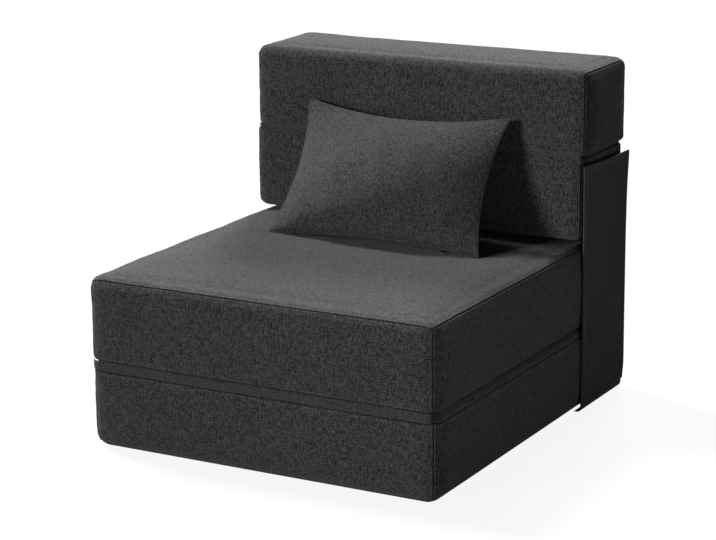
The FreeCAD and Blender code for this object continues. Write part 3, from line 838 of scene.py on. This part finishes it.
def coil(length, radius, thread):
    """A zip's coil along X: a thread wound round the axis, 2 mm a turn."""
    around = 8
    steps = int(length / (2.0 * MM)) * around
    turn = np.arange(steps + 1) * 2 * math.pi / around
    out = column(0, np.cos(turn), np.sin(turn))
    centre = column(np.linspace(-length / 2, length / 2, steps + 1), 0, 0) + radius * out
    points = []
    for angle in np.arange(4) * math.pi / 2:
        points.append(centre + thread * (out * math.cos(angle) + X * math.sin(angle)))
    return np.stack(points, 1).reshape(-1, 3), ring_quads(steps + 1, 4)


def slider_form():
    """A zip slider without a pull tab, lying flat with its nose to the left, about 12 x 9 mm."""
    turn = np.linspace(0, 2 * math.pi, 40, endpoint=False)
    x = np.copysign(np.abs(np.cos(turn)) ** 0.55, np.cos(turn))
    y = np.copysign(np.abs(np.sin(turn)) ** 0.6, np.sin(turn))
    outline = np.stack([x * 6, y * 4.5 * (0.78 + 0.22 * x)], 1)
    layers = ((0.93, 0.0), (1.0, 0.15), (1.0, 0.45), (0.93, 0.62), (0.7, 0.66), (0.3, 0.66))
    points = [column(*(outline * scale).T, height) for scale, height in layers]
    count = len(outline)
    body = ring_quads(len(layers), count)[:, [0, 3, 2, 1]]
    corner = np.arange(1, count // 2)
    lid = np.stack([corner - 1, corner, count - corner, (count - corner + 1) % count], 1)
    # Bridge on the body, where a pull tab would hang
    bridge_x = np.linspace(-3.6, 3.0, 12)
    bridge_z = 0.64 + 0.62 * (1 - ((bridge_x + 0.3) / 3.3) ** 4)
    rim = np.array([(-0.95, 0.35), (-0.75, 0), (0.75, 0), (0.95, 0.35), (0.75, 0.5), (-0.75, 0.5)])
    for x, z in zip(bridge_x, bridge_z):
        points.append(column(x, rim[:, 0], z - rim[:, 1]))
    bridge = ring_quads(len(bridge_x), len(rim)) + len(layers) * count
    quads = np.concatenate([body, bridge, lid + (len(layers) - 1) * count])
    return np.concatenate(points) * MM, quads


def placed(points, middle, across, up, out):
    """Points moved so that X, Y and Z lie along across, up and out."""
    return np.asarray(points) @ np.stack([across, up, out]) + middle


coil_points, coil_quads = coil(636 * MM, 1.5 * MM, 0.32 * MM)
coil_points = coil_points * np.array([1, 1, 0.35])
slider_points, slider_quads = slider_form()
zips = {}
for block, *_ in BLOCKS:
    low, high = node_box(f"{block}_zip_tape")
    middle = (low + high) / 2
    half = np.array([0.6, 2.4, 5, 9, 12.5, 13])
    lines_z = middle[2] + np.concatenate([-half[::-1], [0], half]) * MM
    points, quads, sides = lattice(
        np.linspace(low[0], high[0], 130), np.array([low[1], high[1]]), lines_z
    )
    ridge = 0.9 * MM * (1 - hump(points[:, 2] - middle[2], 3 * MM))
    flat = points.copy()
    flat[:, 1] += np.where(points[:, 1] > middle[1], -ridge, 0)
    tape = new_mesh(f"{block}_zip_cloth", flat, quads, lattice_weave(points, quads, sides))
    belongs(tape, block, f"{block}_zip_tape")
    coil_middle = [middle[0], high[1] - 0.25 * MM, middle[2]]
    teeth = new_mesh(
        f"{block}_zip_coil", placed(coil_points, coil_middle, -X, Z, Y), coil_quads
    )
    belongs(teeth, block)
    slider_low, slider_high = node_box(f"{block}_zip_slider")
    at = (slider_low + slider_high) / 2
    at[1] = slider_low[1]
    slider = new_mesh(
        f"{block}_zip_slider_body", placed(slider_points, at, -X, Z, Y), slider_quads
    )
    belongs(slider, f"{block}_slider", f"{block}_zip_slider")
    zips[block] = (tape, teeth, slider)


# Pillow fill and zip

pillow_fill = new_mesh(
    "pillow_fibre_fill", to_pillow_place(filled_points * np.array([0.965, 0.95, 0.9])),
    pillow_quads, pillow_weave,
)
belongs(pillow_fill, "pillow", "pillow_fill")

tape_low, tape_high = node_box("pillow_zip_tape")
slider_low, slider_high = node_box("pillow_zip_slider")
SEAM_BOW_RADIUS = 1.6950


def pillow_seam_place(x, out, beyond):
    """A place on the pillow's lower seam: how far out of its middle plane, and beyond the seam."""
    bow = SEAM_BOW_RADIUS - np.sqrt(SEAM_BOW_RADIUS**2 - (x - PILLOW_MIDDLE[0]) ** 2)
    foot = (tape_low + tape_high) / 2
    up = (foot - PILLOW_MIDDLE) @ PILLOW_UP + 1.5 * MM - bow - beyond
    return to_pillow_place(column(x - PILLOW_MIDDLE[0], up, out))


points, quads, sides = lattice(
    np.linspace(tape_low[0], tape_high[0], 60), np.array([-4.6, -2, -0.5, 0.5, 2, 4.6]) * MM,
    np.array([-0.5, 0.3]) * MM,
)
zip_points = pillow_seam_place(*points.T)
pillow_zip = new_mesh(
    "pillow_zip_cloth", zip_points,
    *facing_out(zip_points, quads, lattice_weave(points, quads, sides)),
)
belongs(pillow_zip, "pillow", "pillow_zip_tape")
teeth_points, teeth_quads = coil(298 * MM, 1.1 * MM, 0.26 * MM)
teeth_points = teeth_points * [1, 1, 0.4] + [(tape_low[0] + tape_high[0]) / 2, 0, 0.4 * MM]
pillow_teeth = new_mesh("pillow_zip_coil", pillow_seam_place(*teeth_points.T), teeth_quads)
belongs(pillow_teeth, "pillow")
slider_at = (slider_low + slider_high) / 2
seam_turn = math.asin((slider_at[0] - PILLOW_MIDDLE[0]) / SEAM_BOW_RADIUS)
slider_across = PILLOW_ACROSS * math.cos(seam_turn) - PILLOW_UP * math.sin(seam_turn)
slider_down = -PILLOW_UP * math.cos(seam_turn) - PILLOW_ACROSS * math.sin(seam_turn)
pillow_slider = new_mesh(
    "pillow_zip_slider_body",
    placed(
        slider_points * np.array([0.8, 0.8, 1]), slider_at - slider_down * 0.6 * MM,
        -slider_across, np.cross(slider_down, -slider_across), slider_down,
    ),
    slider_quads,
)
belongs(pillow_slider, "pillow_slider", "pillow_zip_slider")


# Bar tacks at the right end of the front fold

tack_x = 0.3405 + np.array([0, 0.7, 1.4]) * MM
tack_middles, tack_outward = front_band_place(tack_x, FRONT_FOLD_LEVEL + 0 * tack_x)
bar_tacks = stitches(
    "front_fold_bar_tacks", tack_middles + 1.0 * MM * tack_outward,
    np.broadcast_to(Z, tack_outward.shape), tack_outward, length=13 * MM, width=0.8 * MM,
)
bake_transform(bar_tacks)


# Materials


def join(tree, part, socket):
    """Joins a value or a socket to a socket, or sets a number or a colour on it."""
    part = getattr(part, "socket", part)
    if isinstance(part, bpy.types.NodeSocket):
        tree.links.new(part, socket)
    else:
        socket.default_value = (*part, 1) if isinstance(part, tuple) else part


def new_node(tree, kind, **parts):
    """A shader node, with its inputs joined or set by name."""
    node = tree.nodes.new("ShaderNode" + kind)
    for label, part in parts.items():
        join(tree, part, node.inputs[label.replace("_", " ")])
    return node


class Value:
    """A number that changes over a surface: the output of a node, to do sums with."""

    def __init__(self, tree, socket):
        self.tree = tree
        self.socket = socket

    def through(self, node, *parts):
        """The first output of a node that takes this value and others."""
        for socket, part in zip(node.inputs, (self, *parts)):
            join(self.tree, part, socket)
        return Value(self.tree, node.outputs[0])

    def maths(self, operation, *parts, clamp=False):
        """A math node over this value and others."""
        node = new_node(self.tree, "Math")
        node.operation = operation
        node.use_clamp = clamp
        return self.through(node, *parts)

    def ranged(self, from_low, from_high, to_low, to_high):
        """This value carried from one range to another, and kept in it."""
        node = new_node(self.tree, "MapRange")
        return self.through(node, from_low, from_high, to_low, to_high)

    def __add__(self, other):
        return self.maths("ADD", other)

    def __sub__(self, other):
        return self.maths("SUBTRACT", other)

    def __mul__(self, other):
        return self.maths("MULTIPLY", other)

    def __truediv__(self, other):
        return self.maths("DIVIDE", other)


def combined(tree, x, y, z):
    """A vector from three values or numbers."""
    return new_node(tree, "CombineXYZ", X=x, Y=y, Z=z).outputs[0]


def noise(tree, place, scale, detail=2.0, roughness=0.5):
    """Noise at a place."""
    node = new_node(
        tree, "TexNoise", Vector=place, Scale=scale, Detail=detail, Roughness=roughness
    )
    return Value(tree, node.outputs["Fac"])


def parts_of(tree, place):
    """The X, Y and Z of a place."""
    node = new_node(tree, "SeparateXYZ", Vector=place)
    return [Value(tree, socket) for socket in node.outputs]


def mixed(tree, share, first, second, blend="MIX"):
    """A colour between two, each a socket or an RGB triple."""
    node = new_node(tree, "Mix")
    node.data_type = "RGBA"
    node.blend_type = blend
    for place, part in ((0, share), (6, first), (7, second)):
        join(tree, part, node.inputs[place])
    return node.outputs[2]


def new_group(name, inputs, outputs):
    """A node group: inputs are name, kind and default, and outputs are names of numbers."""
    group = bpy.data.node_groups.new(name, "ShaderNodeTree")
    for label, kind, default in inputs:
        socket = group.interface.new_socket(label, in_out="INPUT", socket_type="NodeSocket" + kind)
        if default is not None:
            socket.default_value = default
    for label in outputs:
        group.interface.new_socket(label, in_out="OUTPUT", socket_type="NodeSocketFloat")
    given = group.nodes.new("NodeGroupInput").outputs
    return group, given, group.nodes.new("NodeGroupOutput").inputs


def plain_weave_group():
    """Threads crossing over and under, each with its own shade, which changes along it."""
    group, given, result = new_group(
        "plain_weave",
        [("Place", "Vector", None), ("Pitch", "Float", 1 * MM), ("Slub", "Float", 1.0)],
        ["Tone", "Height"],
    )
    place, pitch = given["Place"], given["Pitch"]
    wander = noise(group, place, 55.0, 1.0) * 1.3
    x, y, _ = parts_of(group, place)
    u = x / pitch + wander
    v = y / pitch - wander
    thread_u, thread_v = u.maths("FLOOR"), v.maths("FLOOR")
    swap_u = ((thread_u + (v - 0.5)) * math.pi).maths("COSINE")
    swap_v = ((thread_v + (u - 0.5)) * math.pi).maths("COSINE")
    warp = (u * math.pi).maths("SINE").maths("ABSOLUTE") * (swap_u * 0.4 + 0.6)
    weft = (v * math.pi).maths("SINE").maths("ABSOLUTE") * (swap_v * -0.4 + 0.6)
    warp_shade = noise(group, combined(group, thread_u * 3.7, v * 0.11, 0.0), 1.0, 1.0)
    weft_shade = noise(group, combined(group, u * 0.16, thread_v * 3.7, 5.0), 1.0, 1.0)
    warp_on_top = warp.maths("GREATER_THAN", weft)
    shade = weft_shade + (warp_shade - weft_shade) * warp_on_top
    streak = noise(group, combined(group, u * 0.4, v * 0.17, 9.0), 1.0, 2.0)
    heather = noise(group, place, 400.0, 2.0, 0.7)
    flecks = streak * 0.6 + heather * 1.4 - 1.0
    centred = (shade + flecks * 0.9 - 0.5) * given["Slub"]
    thread = warp.maths("MAXIMUM", weft)
    # The hollows between the threads are painted darker, as painted shade
    hollow_shade = (thread - 0.75) * 0.35
    join(group, (centred * 3.6 + 0.5).maths("ADD", hollow_shade, clamp=True), result["Tone"])
    join(group, centred * 0.5 + thread, result["Height"])
    return group


def use_and_lint_group():
    """Faint cloudy shading from use, and scattered short fibres of lint."""
    group, given, result = new_group(
        "use_and_lint", [("Place", "Vector", None), ("Lint", "Float", 1.0)], ["Shade", "Fibres"]
    )
    place = given["Place"]
    cloud = noise(group, place, 7.0, 3.0).ranged(0.3, 0.7, 0.93, 1.05)
    join(group, cloud + noise(group, place, 38.0, 2.0) * 0.06, result["Shade"])
    # Fibres run along the edges of bent cells, and only some of them are there
    bent = new_node(group, "TexNoise", Vector=place, Scale=30.0)
    spread = new_node(group, "VectorMath")
    spread.operation = "MULTIPLY_ADD"
    join(group, bent.outputs["Color"], spread.inputs[0])
    join(group, [0.05] * 3, spread.inputs[1])
    join(group, place, spread.inputs[2])
    cells = new_node(group, "TexVoronoi", Vector=spread.outputs[0], Scale=130.0)
    cells.feature = "DISTANCE_TO_EDGE"
    thin = Value(group, cells.outputs["Distance"]).maths("LESS_THAN", 0.012)
    rare = noise(group, place, 150.0, 0.0).maths("GREATER_THAN", 0.76)
    join(group, thin * rare * given["Lint"], result["Fibres"])
    return group


def ribbed_tape_group():
    """Fine ribs along a woven tape, with the small dots of its weave."""
    group, given, result = new_group(
        "ribbed_tape", [("Place", "Vector", None), ("Pitch", "Float", 0.8 * MM)], ["Tone", "Height"]
    )
    x, y, _ = parts_of(group, given["Place"])
    rib = (y / given["Pitch"] * (2 * math.pi)).maths("SINE")
    dot = (x / given["Pitch"] * (2 * math.pi) + rib).maths("SINE")
    height = dot * 0.2 + (rib * 0.3 + 0.5)
    join(group, height, result["Height"])
    fleck = noise(group, given["Place"], 900.0, 1.0)
    join(group, height * 0.5 + fleck * 0.5, result["Tone"])
    return group


plain_weave = plain_weave_group()
use_and_lint = use_and_lint_group()
ribbed_tape = ribbed_tape_group()


def grouped(tree, group, **given):
    """A node group placed in a tree, with its inputs joined or set."""
    node = tree.nodes.new("ShaderNodeGroup")
    node.node_tree = group
    for label, part in given.items():
        join(tree, part, node.inputs[label])
    return node.outputs


def new_material(name, roughness, specular=0.2, sheen=0.0, coat=0.0):
    """A material with its surface and its constants."""
    material = bpy.data.materials.new(name)
    material.use_nodes = True
    surface = material.node_tree.nodes["Principled BSDF"]
    surface.inputs["Roughness"].default_value = roughness
    surface.inputs["Specular IOR Level"].default_value = specular
    surface.inputs["Sheen Weight"].default_value = sheen
    surface.inputs["Sheen Roughness"].default_value = 0.5
    surface.inputs["Coat Weight"].default_value = coat
    return material, material.node_tree, surface


def bumped(tree, surface, height, distance, strength=1.0):
    """Relief of a surface."""
    node = new_node(tree, "Bump", Strength=strength, Distance=distance, Height=height)
    join(tree, node.outputs[0], surface.inputs["Normal"])


def weave_place(tree):
    """The place in the cloth, in metres, from the mesh."""
    node = new_node(tree, "UVMap")
    node.uv_map = "weave"
    return node.outputs[0]


def object_place(tree):
    """The place on the object, in metres."""
    return new_node(tree, "TexCoord").outputs["Object"]


def attribute(tree, name):
    """A number kept with the points of the mesh."""
    node = new_node(tree, "Attribute")
    node.attribute_name = name
    return Value(tree, node.outputs["Fac"])


def woven_cloth(name, dark, light, pitch, slub=1.0, seams=False):
    """A woven cloth with slubs, a little wear and lint, dust and painted shade in its seams, and
    painted highlights on its welts.
    """
    material, tree, surface = new_material(name, 0.9, specular=0.12, sheen=0.18)
    weave = grouped(tree, plain_weave, Place=weave_place(tree), Pitch=pitch, Slub=slub)
    use = grouped(tree, use_and_lint, Place=object_place(tree), Lint=1.0)
    shade = Value(tree, use["Shade"])
    # Painted shade and dust in the seam grooves, painted highlights on the welts, and painted shade
    # on the end panels of the back and headrest
    if seams:
        for mark, strength in (("seam", -0.75), ("welt_highlight", 0.4), ("end_panel_shade", -0.35)):
            shade = shade * (attribute(tree, mark) * strength + 1.0)
    colour = mixed(tree, weave["Tone"], dark, light)
    colour = mixed(tree, 1.0, colour, combined(tree, shade, shade, shade), "MULTIPLY")
    colour = mixed(tree, Value(tree, use["Fibres"]) * 0.5, colour, (0.16, 0.16, 0.16))
    join(tree, colour, surface.inputs["Base Color"])
    roughness = Value(tree, weave["Tone"]).ranged(0.0, 1.0, 0.95, 0.83)
    join(tree, roughness, surface.inputs["Roughness"])
    bumped(tree, surface, weave["Height"], 0.5 * MM)
    return material


def foam_material():
    """Cream open-cell foam."""
    material, tree, surface = new_material("cream_foam", 0.95, specular=0.1)
    cells = new_node(tree, "TexVoronoi", Vector=object_place(tree), Scale=700.0)
    colour = mixed(tree, cells.outputs["Distance"], (0.55, 0.5, 0.38), (0.85, 0.82, 0.72))
    join(tree, colour, surface.inputs["Base Color"])
    bumped(tree, surface, cells.outputs["Distance"], 0.5 * MM)
    return material


def fill_material():
    """White fibre fill, with its tangled fibres."""
    material, tree, surface = new_material("white_fibre_fill", 0.95, specular=0.1, sheen=0.2)
    tangle = noise(tree, object_place(tree), 260.0, 5.0, 0.7)
    colour = mixed(tree, tangle, (0.7, 0.7, 0.68), (0.95, 0.95, 0.93))
    join(tree, colour, surface.inputs["Base Color"])
    bumped(tree, surface, tangle, 1.5 * MM)
    return material


def tape_material(name, dark, light, pitch):
    """A ribbed woven tape."""
    material, tree, surface = new_material(name, 0.8, sheen=0.15)
    ribs = grouped(tree, ribbed_tape, Place=weave_place(tree), Pitch=pitch)
    join(tree, mixed(tree, ribs["Tone"], dark, light), surface.inputs["Base Color"])
    bumped(tree, surface, ribs["Height"], 0.2 * MM, 0.7)
    return material


def nylon_material(name, dark, light, roughness):
    """Moulded nylon, a little uneven in shade."""
    material, tree, surface = new_material(name, roughness, specular=0.4)
    fleck = noise(tree, object_place(tree), 1500.0, 2.0)
    join(tree, mixed(tree, fleck, dark, light), surface.inputs["Base Color"])
    uneven = fleck.ranged(0.3, 0.7, roughness - 0.08, roughness + 0.1)
    join(tree, uneven, surface.inputs["Roughness"])
    return material


def lacquer_material():
    """Black lacquered metal, rubbed thin in places."""
    material, tree, surface = new_material("black_lacquered_metal", 0.35, specular=0.5, coat=0.3)
    rubbed = noise(tree, object_place(tree), 420.0, 4.0, 0.6).ranged(0.62, 0.7, 0.0, 1.0)
    colour = mixed(tree, rubbed, (0.02, 0.02, 0.021), (0.3, 0.3, 0.31))
    join(tree, colour, surface.inputs["Base Color"])
    join(tree, rubbed, surface.inputs["Metallic"])
    join(tree, rubbed.ranged(0.0, 1.0, 0.38, 0.25), surface.inputs["Roughness"])
    return material


def thread_material():
    """Twisted sewing thread."""
    material, tree, surface = new_material("charcoal_thread", 0.7, specular=0.3, sheen=0.2)
    x, y, z = parts_of(tree, object_place(tree))
    twist = ((x + y + z) * 9000.0).maths("SINE") * 0.5 + 0.5
    colour = mixed(tree, twist, (0.03, 0.03, 0.031), (0.085, 0.085, 0.088))
    join(tree, colour, surface.inputs["Base Color"])
    bumped(tree, surface, twist, 0.1 * MM)
    return material


def dotted_sheet_material():
    """Thin black nonwoven sheet with rows of rubber dots, 10 mm apart, against slipping."""
    material, tree, surface = new_material("dotted_nonwoven_sheet", 0.85, specular=0.25)
    x, y, _ = parts_of(tree, object_place(tree))
    across = (x * 100.0).maths("FRACT") * 2.0 - 1.0
    along = (y * 100.0).maths("FRACT") * 2.0 - 1.0
    reach = (across * across + along * along).maths("SQRT")
    dot = reach.maths("LESS_THAN", 0.34)
    felt = noise(tree, object_place(tree), 800.0, 4.0, 0.7)
    cloth = mixed(tree, felt, (0.018, 0.018, 0.018), (0.05, 0.05, 0.05))
    join(tree, mixed(tree, dot, cloth, (0.012, 0.012, 0.013)), surface.inputs["Base Color"])
    join(tree, dot.ranged(0.0, 1.0, 0.9, 0.45), surface.inputs["Roughness"])
    bumped(tree, surface, dot + felt * 0.3, 0.4 * MM)
    return material


CHARCOAL = (0.014, 0.014, 0.0145), (0.093, 0.093, 0.096)
PANEL_CHARCOAL = (0.009, 0.009, 0.0095), (0.056, 0.056, 0.058)
FOLD_CHARCOAL = (0.025, 0.025, 0.026), (0.092, 0.092, 0.095)
HEM_CHARCOAL = (0.02, 0.02, 0.021), (0.085, 0.085, 0.088)
TAPE_BLACK = (0.012, 0.012, 0.013), (0.045, 0.045, 0.047)
COIL_BLACK = (0.015, 0.015, 0.016), (0.045, 0.045, 0.047)
HOOK_BLACK = (0.012, 0.012, 0.013), (0.03, 0.03, 0.032)
LOOP_BLACK = (0.015, 0.015, 0.016), (0.04, 0.04, 0.042)
cover_cloth = woven_cloth("charcoal_cover_weave", *CHARCOAL, 1.6 * MM, seams=True)
pillow_cloth = woven_cloth("charcoal_pillow_weave", *CHARCOAL, 1.5 * MM, seams=True)
panel_cloth = woven_cloth("charcoal_panel_weave", *PANEL_CHARCOAL, 1.0 * MM, slub=0.9)
fold_cloth = woven_cloth("charcoal_fold_weave", *FOLD_CHARCOAL, 1.1 * MM, slub=0.8)
hem_tape = tape_material("charcoal_hem_binding", *HEM_CHARCOAL, 1.1 * MM)
zip_tape = tape_material("black_zip_tape", *TAPE_BLACK, 0.8 * MM)
foam = foam_material()
fibre = fill_material()
coil_nylon = nylon_material("black_coil_nylon", *COIL_BLACK, 0.4)
hook_nylon = nylon_material("black_hook_nylon", *HOOK_BLACK, 0.5)
loop_nylon = nylon_material("black_loop_nylon", *LOOP_BLACK, 0.8)
lacquer = lacquer_material()
thread = thread_material()
dotted_sheet = dotted_sheet_material()

worn = [(pillow, pillow_cloth), (pillow_fill, fibre), (panel, panel_cloth), (hem, hem_tape)]
worn += [(hem_stitches, thread), (bar_tacks, thread)]
worn += [(hook_tape, hook_nylon), (loop_tape, loop_nylon)]
worn += [(piece, fold_cloth) for piece in (front_band, rear_band, headrest_band, panel_fold)]
worn += [(pillow_zip, zip_tape), (pillow_teeth, coil_nylon), (pillow_slider, lacquer)]
for block, pieces in zips.items():
    worn += [(covers[block], cover_cloth), (covers[block + "_core"], foam)]
    worn += list(zip(pieces, (zip_tape, coil_nylon, lacquer)))
worn.append((bpy.data.objects["base_underside_sheet"], dotted_sheet))
for piece, material in worn:
    piece.data.materials.clear()
    piece.data.materials.append(material)


# Floor, light and camera

floor = new_mesh("floor", [[-30, -30, 0], [30, -30, 0], [30, 30, 0], [-30, 30, 0]], [[0, 1, 2, 3]])
floor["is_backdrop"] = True
# The floor's own light, which only the camera sees, as a share of its surface
FLOOR_GLOW = 0.9


def floor_material():
    """A white floor that keeps the object's soft shadow and throws little light back up."""
    material, tree, surface = new_material("white_floor", 0.9, specular=0.0)
    seen = Value(tree, new_node(tree, "LightPath").outputs["Is Camera Ray"])
    colour = mixed(tree, seen, (0.12, 0.12, 0.12), (0.95, 0.95, 0.95))
    join(tree, colour, surface.inputs["Base Color"])
    glow = new_node(tree, "Emission", Strength=1.0)
    both = new_node(tree, "MixShader")
    for place, part in enumerate((seen * FLOOR_GLOW, surface.outputs[0], glow.outputs[0])):
        join(tree, part, both.inputs[place])
    join(tree, both.outputs[0], tree.nodes["Material Output"].inputs["Surface"])
    return material


floor.data.materials.append(floor_material())


def new_lamp(name, kind, stand, aim):
    """A lamp that stands at one place and shines at another."""
    lamp = bpy.data.lights.new(name, kind)
    holder = bpy.data.objects.new(name, lamp)
    bpy.context.scene.collection.objects.link(holder)
    holder.location = stand
    holder.rotation_euler = (Vector(aim) - Vector(stand)).to_track_quat("-Z", "Y").to_euler()
    return lamp


# Name, the way its light comes from, its width in the sky in degrees, and its strength
LAMPS = (
    ("key_lamp", (-2.0, 0.6, 2.7), 12, 3.9),
    ("rear_lamp", (-0.8, 2.9, 1.8), 24, 3.3),
    ("front_lamp", (-2.1, -3.7, 0.9), 14, 1.85),
)
for name, stand, width, strength in LAMPS:
    lamp = new_lamp(name, "SUN", stand, (0, 0, 0))
    lamp.angle = math.radians(width)
    lamp.energy = strength

softbox = new_lamp("right_softbox", "AREA", (1.4, -0.9, 0.14), (0.3, 0, 0.2))
softbox.shape = "DISK"
softbox.size = 0.9
softbox.energy = 4.2

ROOM_SHADE = (0.015, 0.015, 0.015)
world = bpy.data.worlds.new("room")
bpy.context.scene.world = world
world.use_nodes = True
room = world.node_tree
backdrop = room.nodes["Background"]
ray = new_node(room, "LightPath").outputs
clear = Value(room, ray["Is Camera Ray"]).maths("MAXIMUM", ray["Is Transmission Ray"])
join(room, mixed(room, clear, ROOM_SHADE, (1.0, 1.0, 1.0)), backdrop.inputs["Color"])
backdrop.inputs["Strength"].default_value = 1.0

# The camera's place, and how far it is turned to the left, tipped down and tilted, in degrees
CAMERA_PLACE = (2.0755, -3.7665, 1.4072)
CAMERA_LEFT, CAMERA_DOWN, CAMERA_TILT = 29.04, 14.64, -0.48
camera_data = bpy.data.cameras.new("camera")
camera_data.lens = 119.8
camera_data.sensor_width = 36
camera_data.clip_end = 100
camera = bpy.data.objects.new("camera", camera_data)
bpy.context.scene.collection.objects.link(camera)
bpy.context.scene.camera = camera
turned = Matrix.Rotation(math.radians(CAMERA_LEFT), 4, "Z")
turned = turned @ Matrix.Rotation(math.radians(90 - CAMERA_DOWN), 4, "X")
turned = turned @ Matrix.Rotation(math.radians(CAMERA_TILT), 4, "Z")
camera.matrix_world = Matrix.Translation(CAMERA_PLACE) @ turned

bpy.context.scene.view_settings.view_transform = "Standard"

low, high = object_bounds()
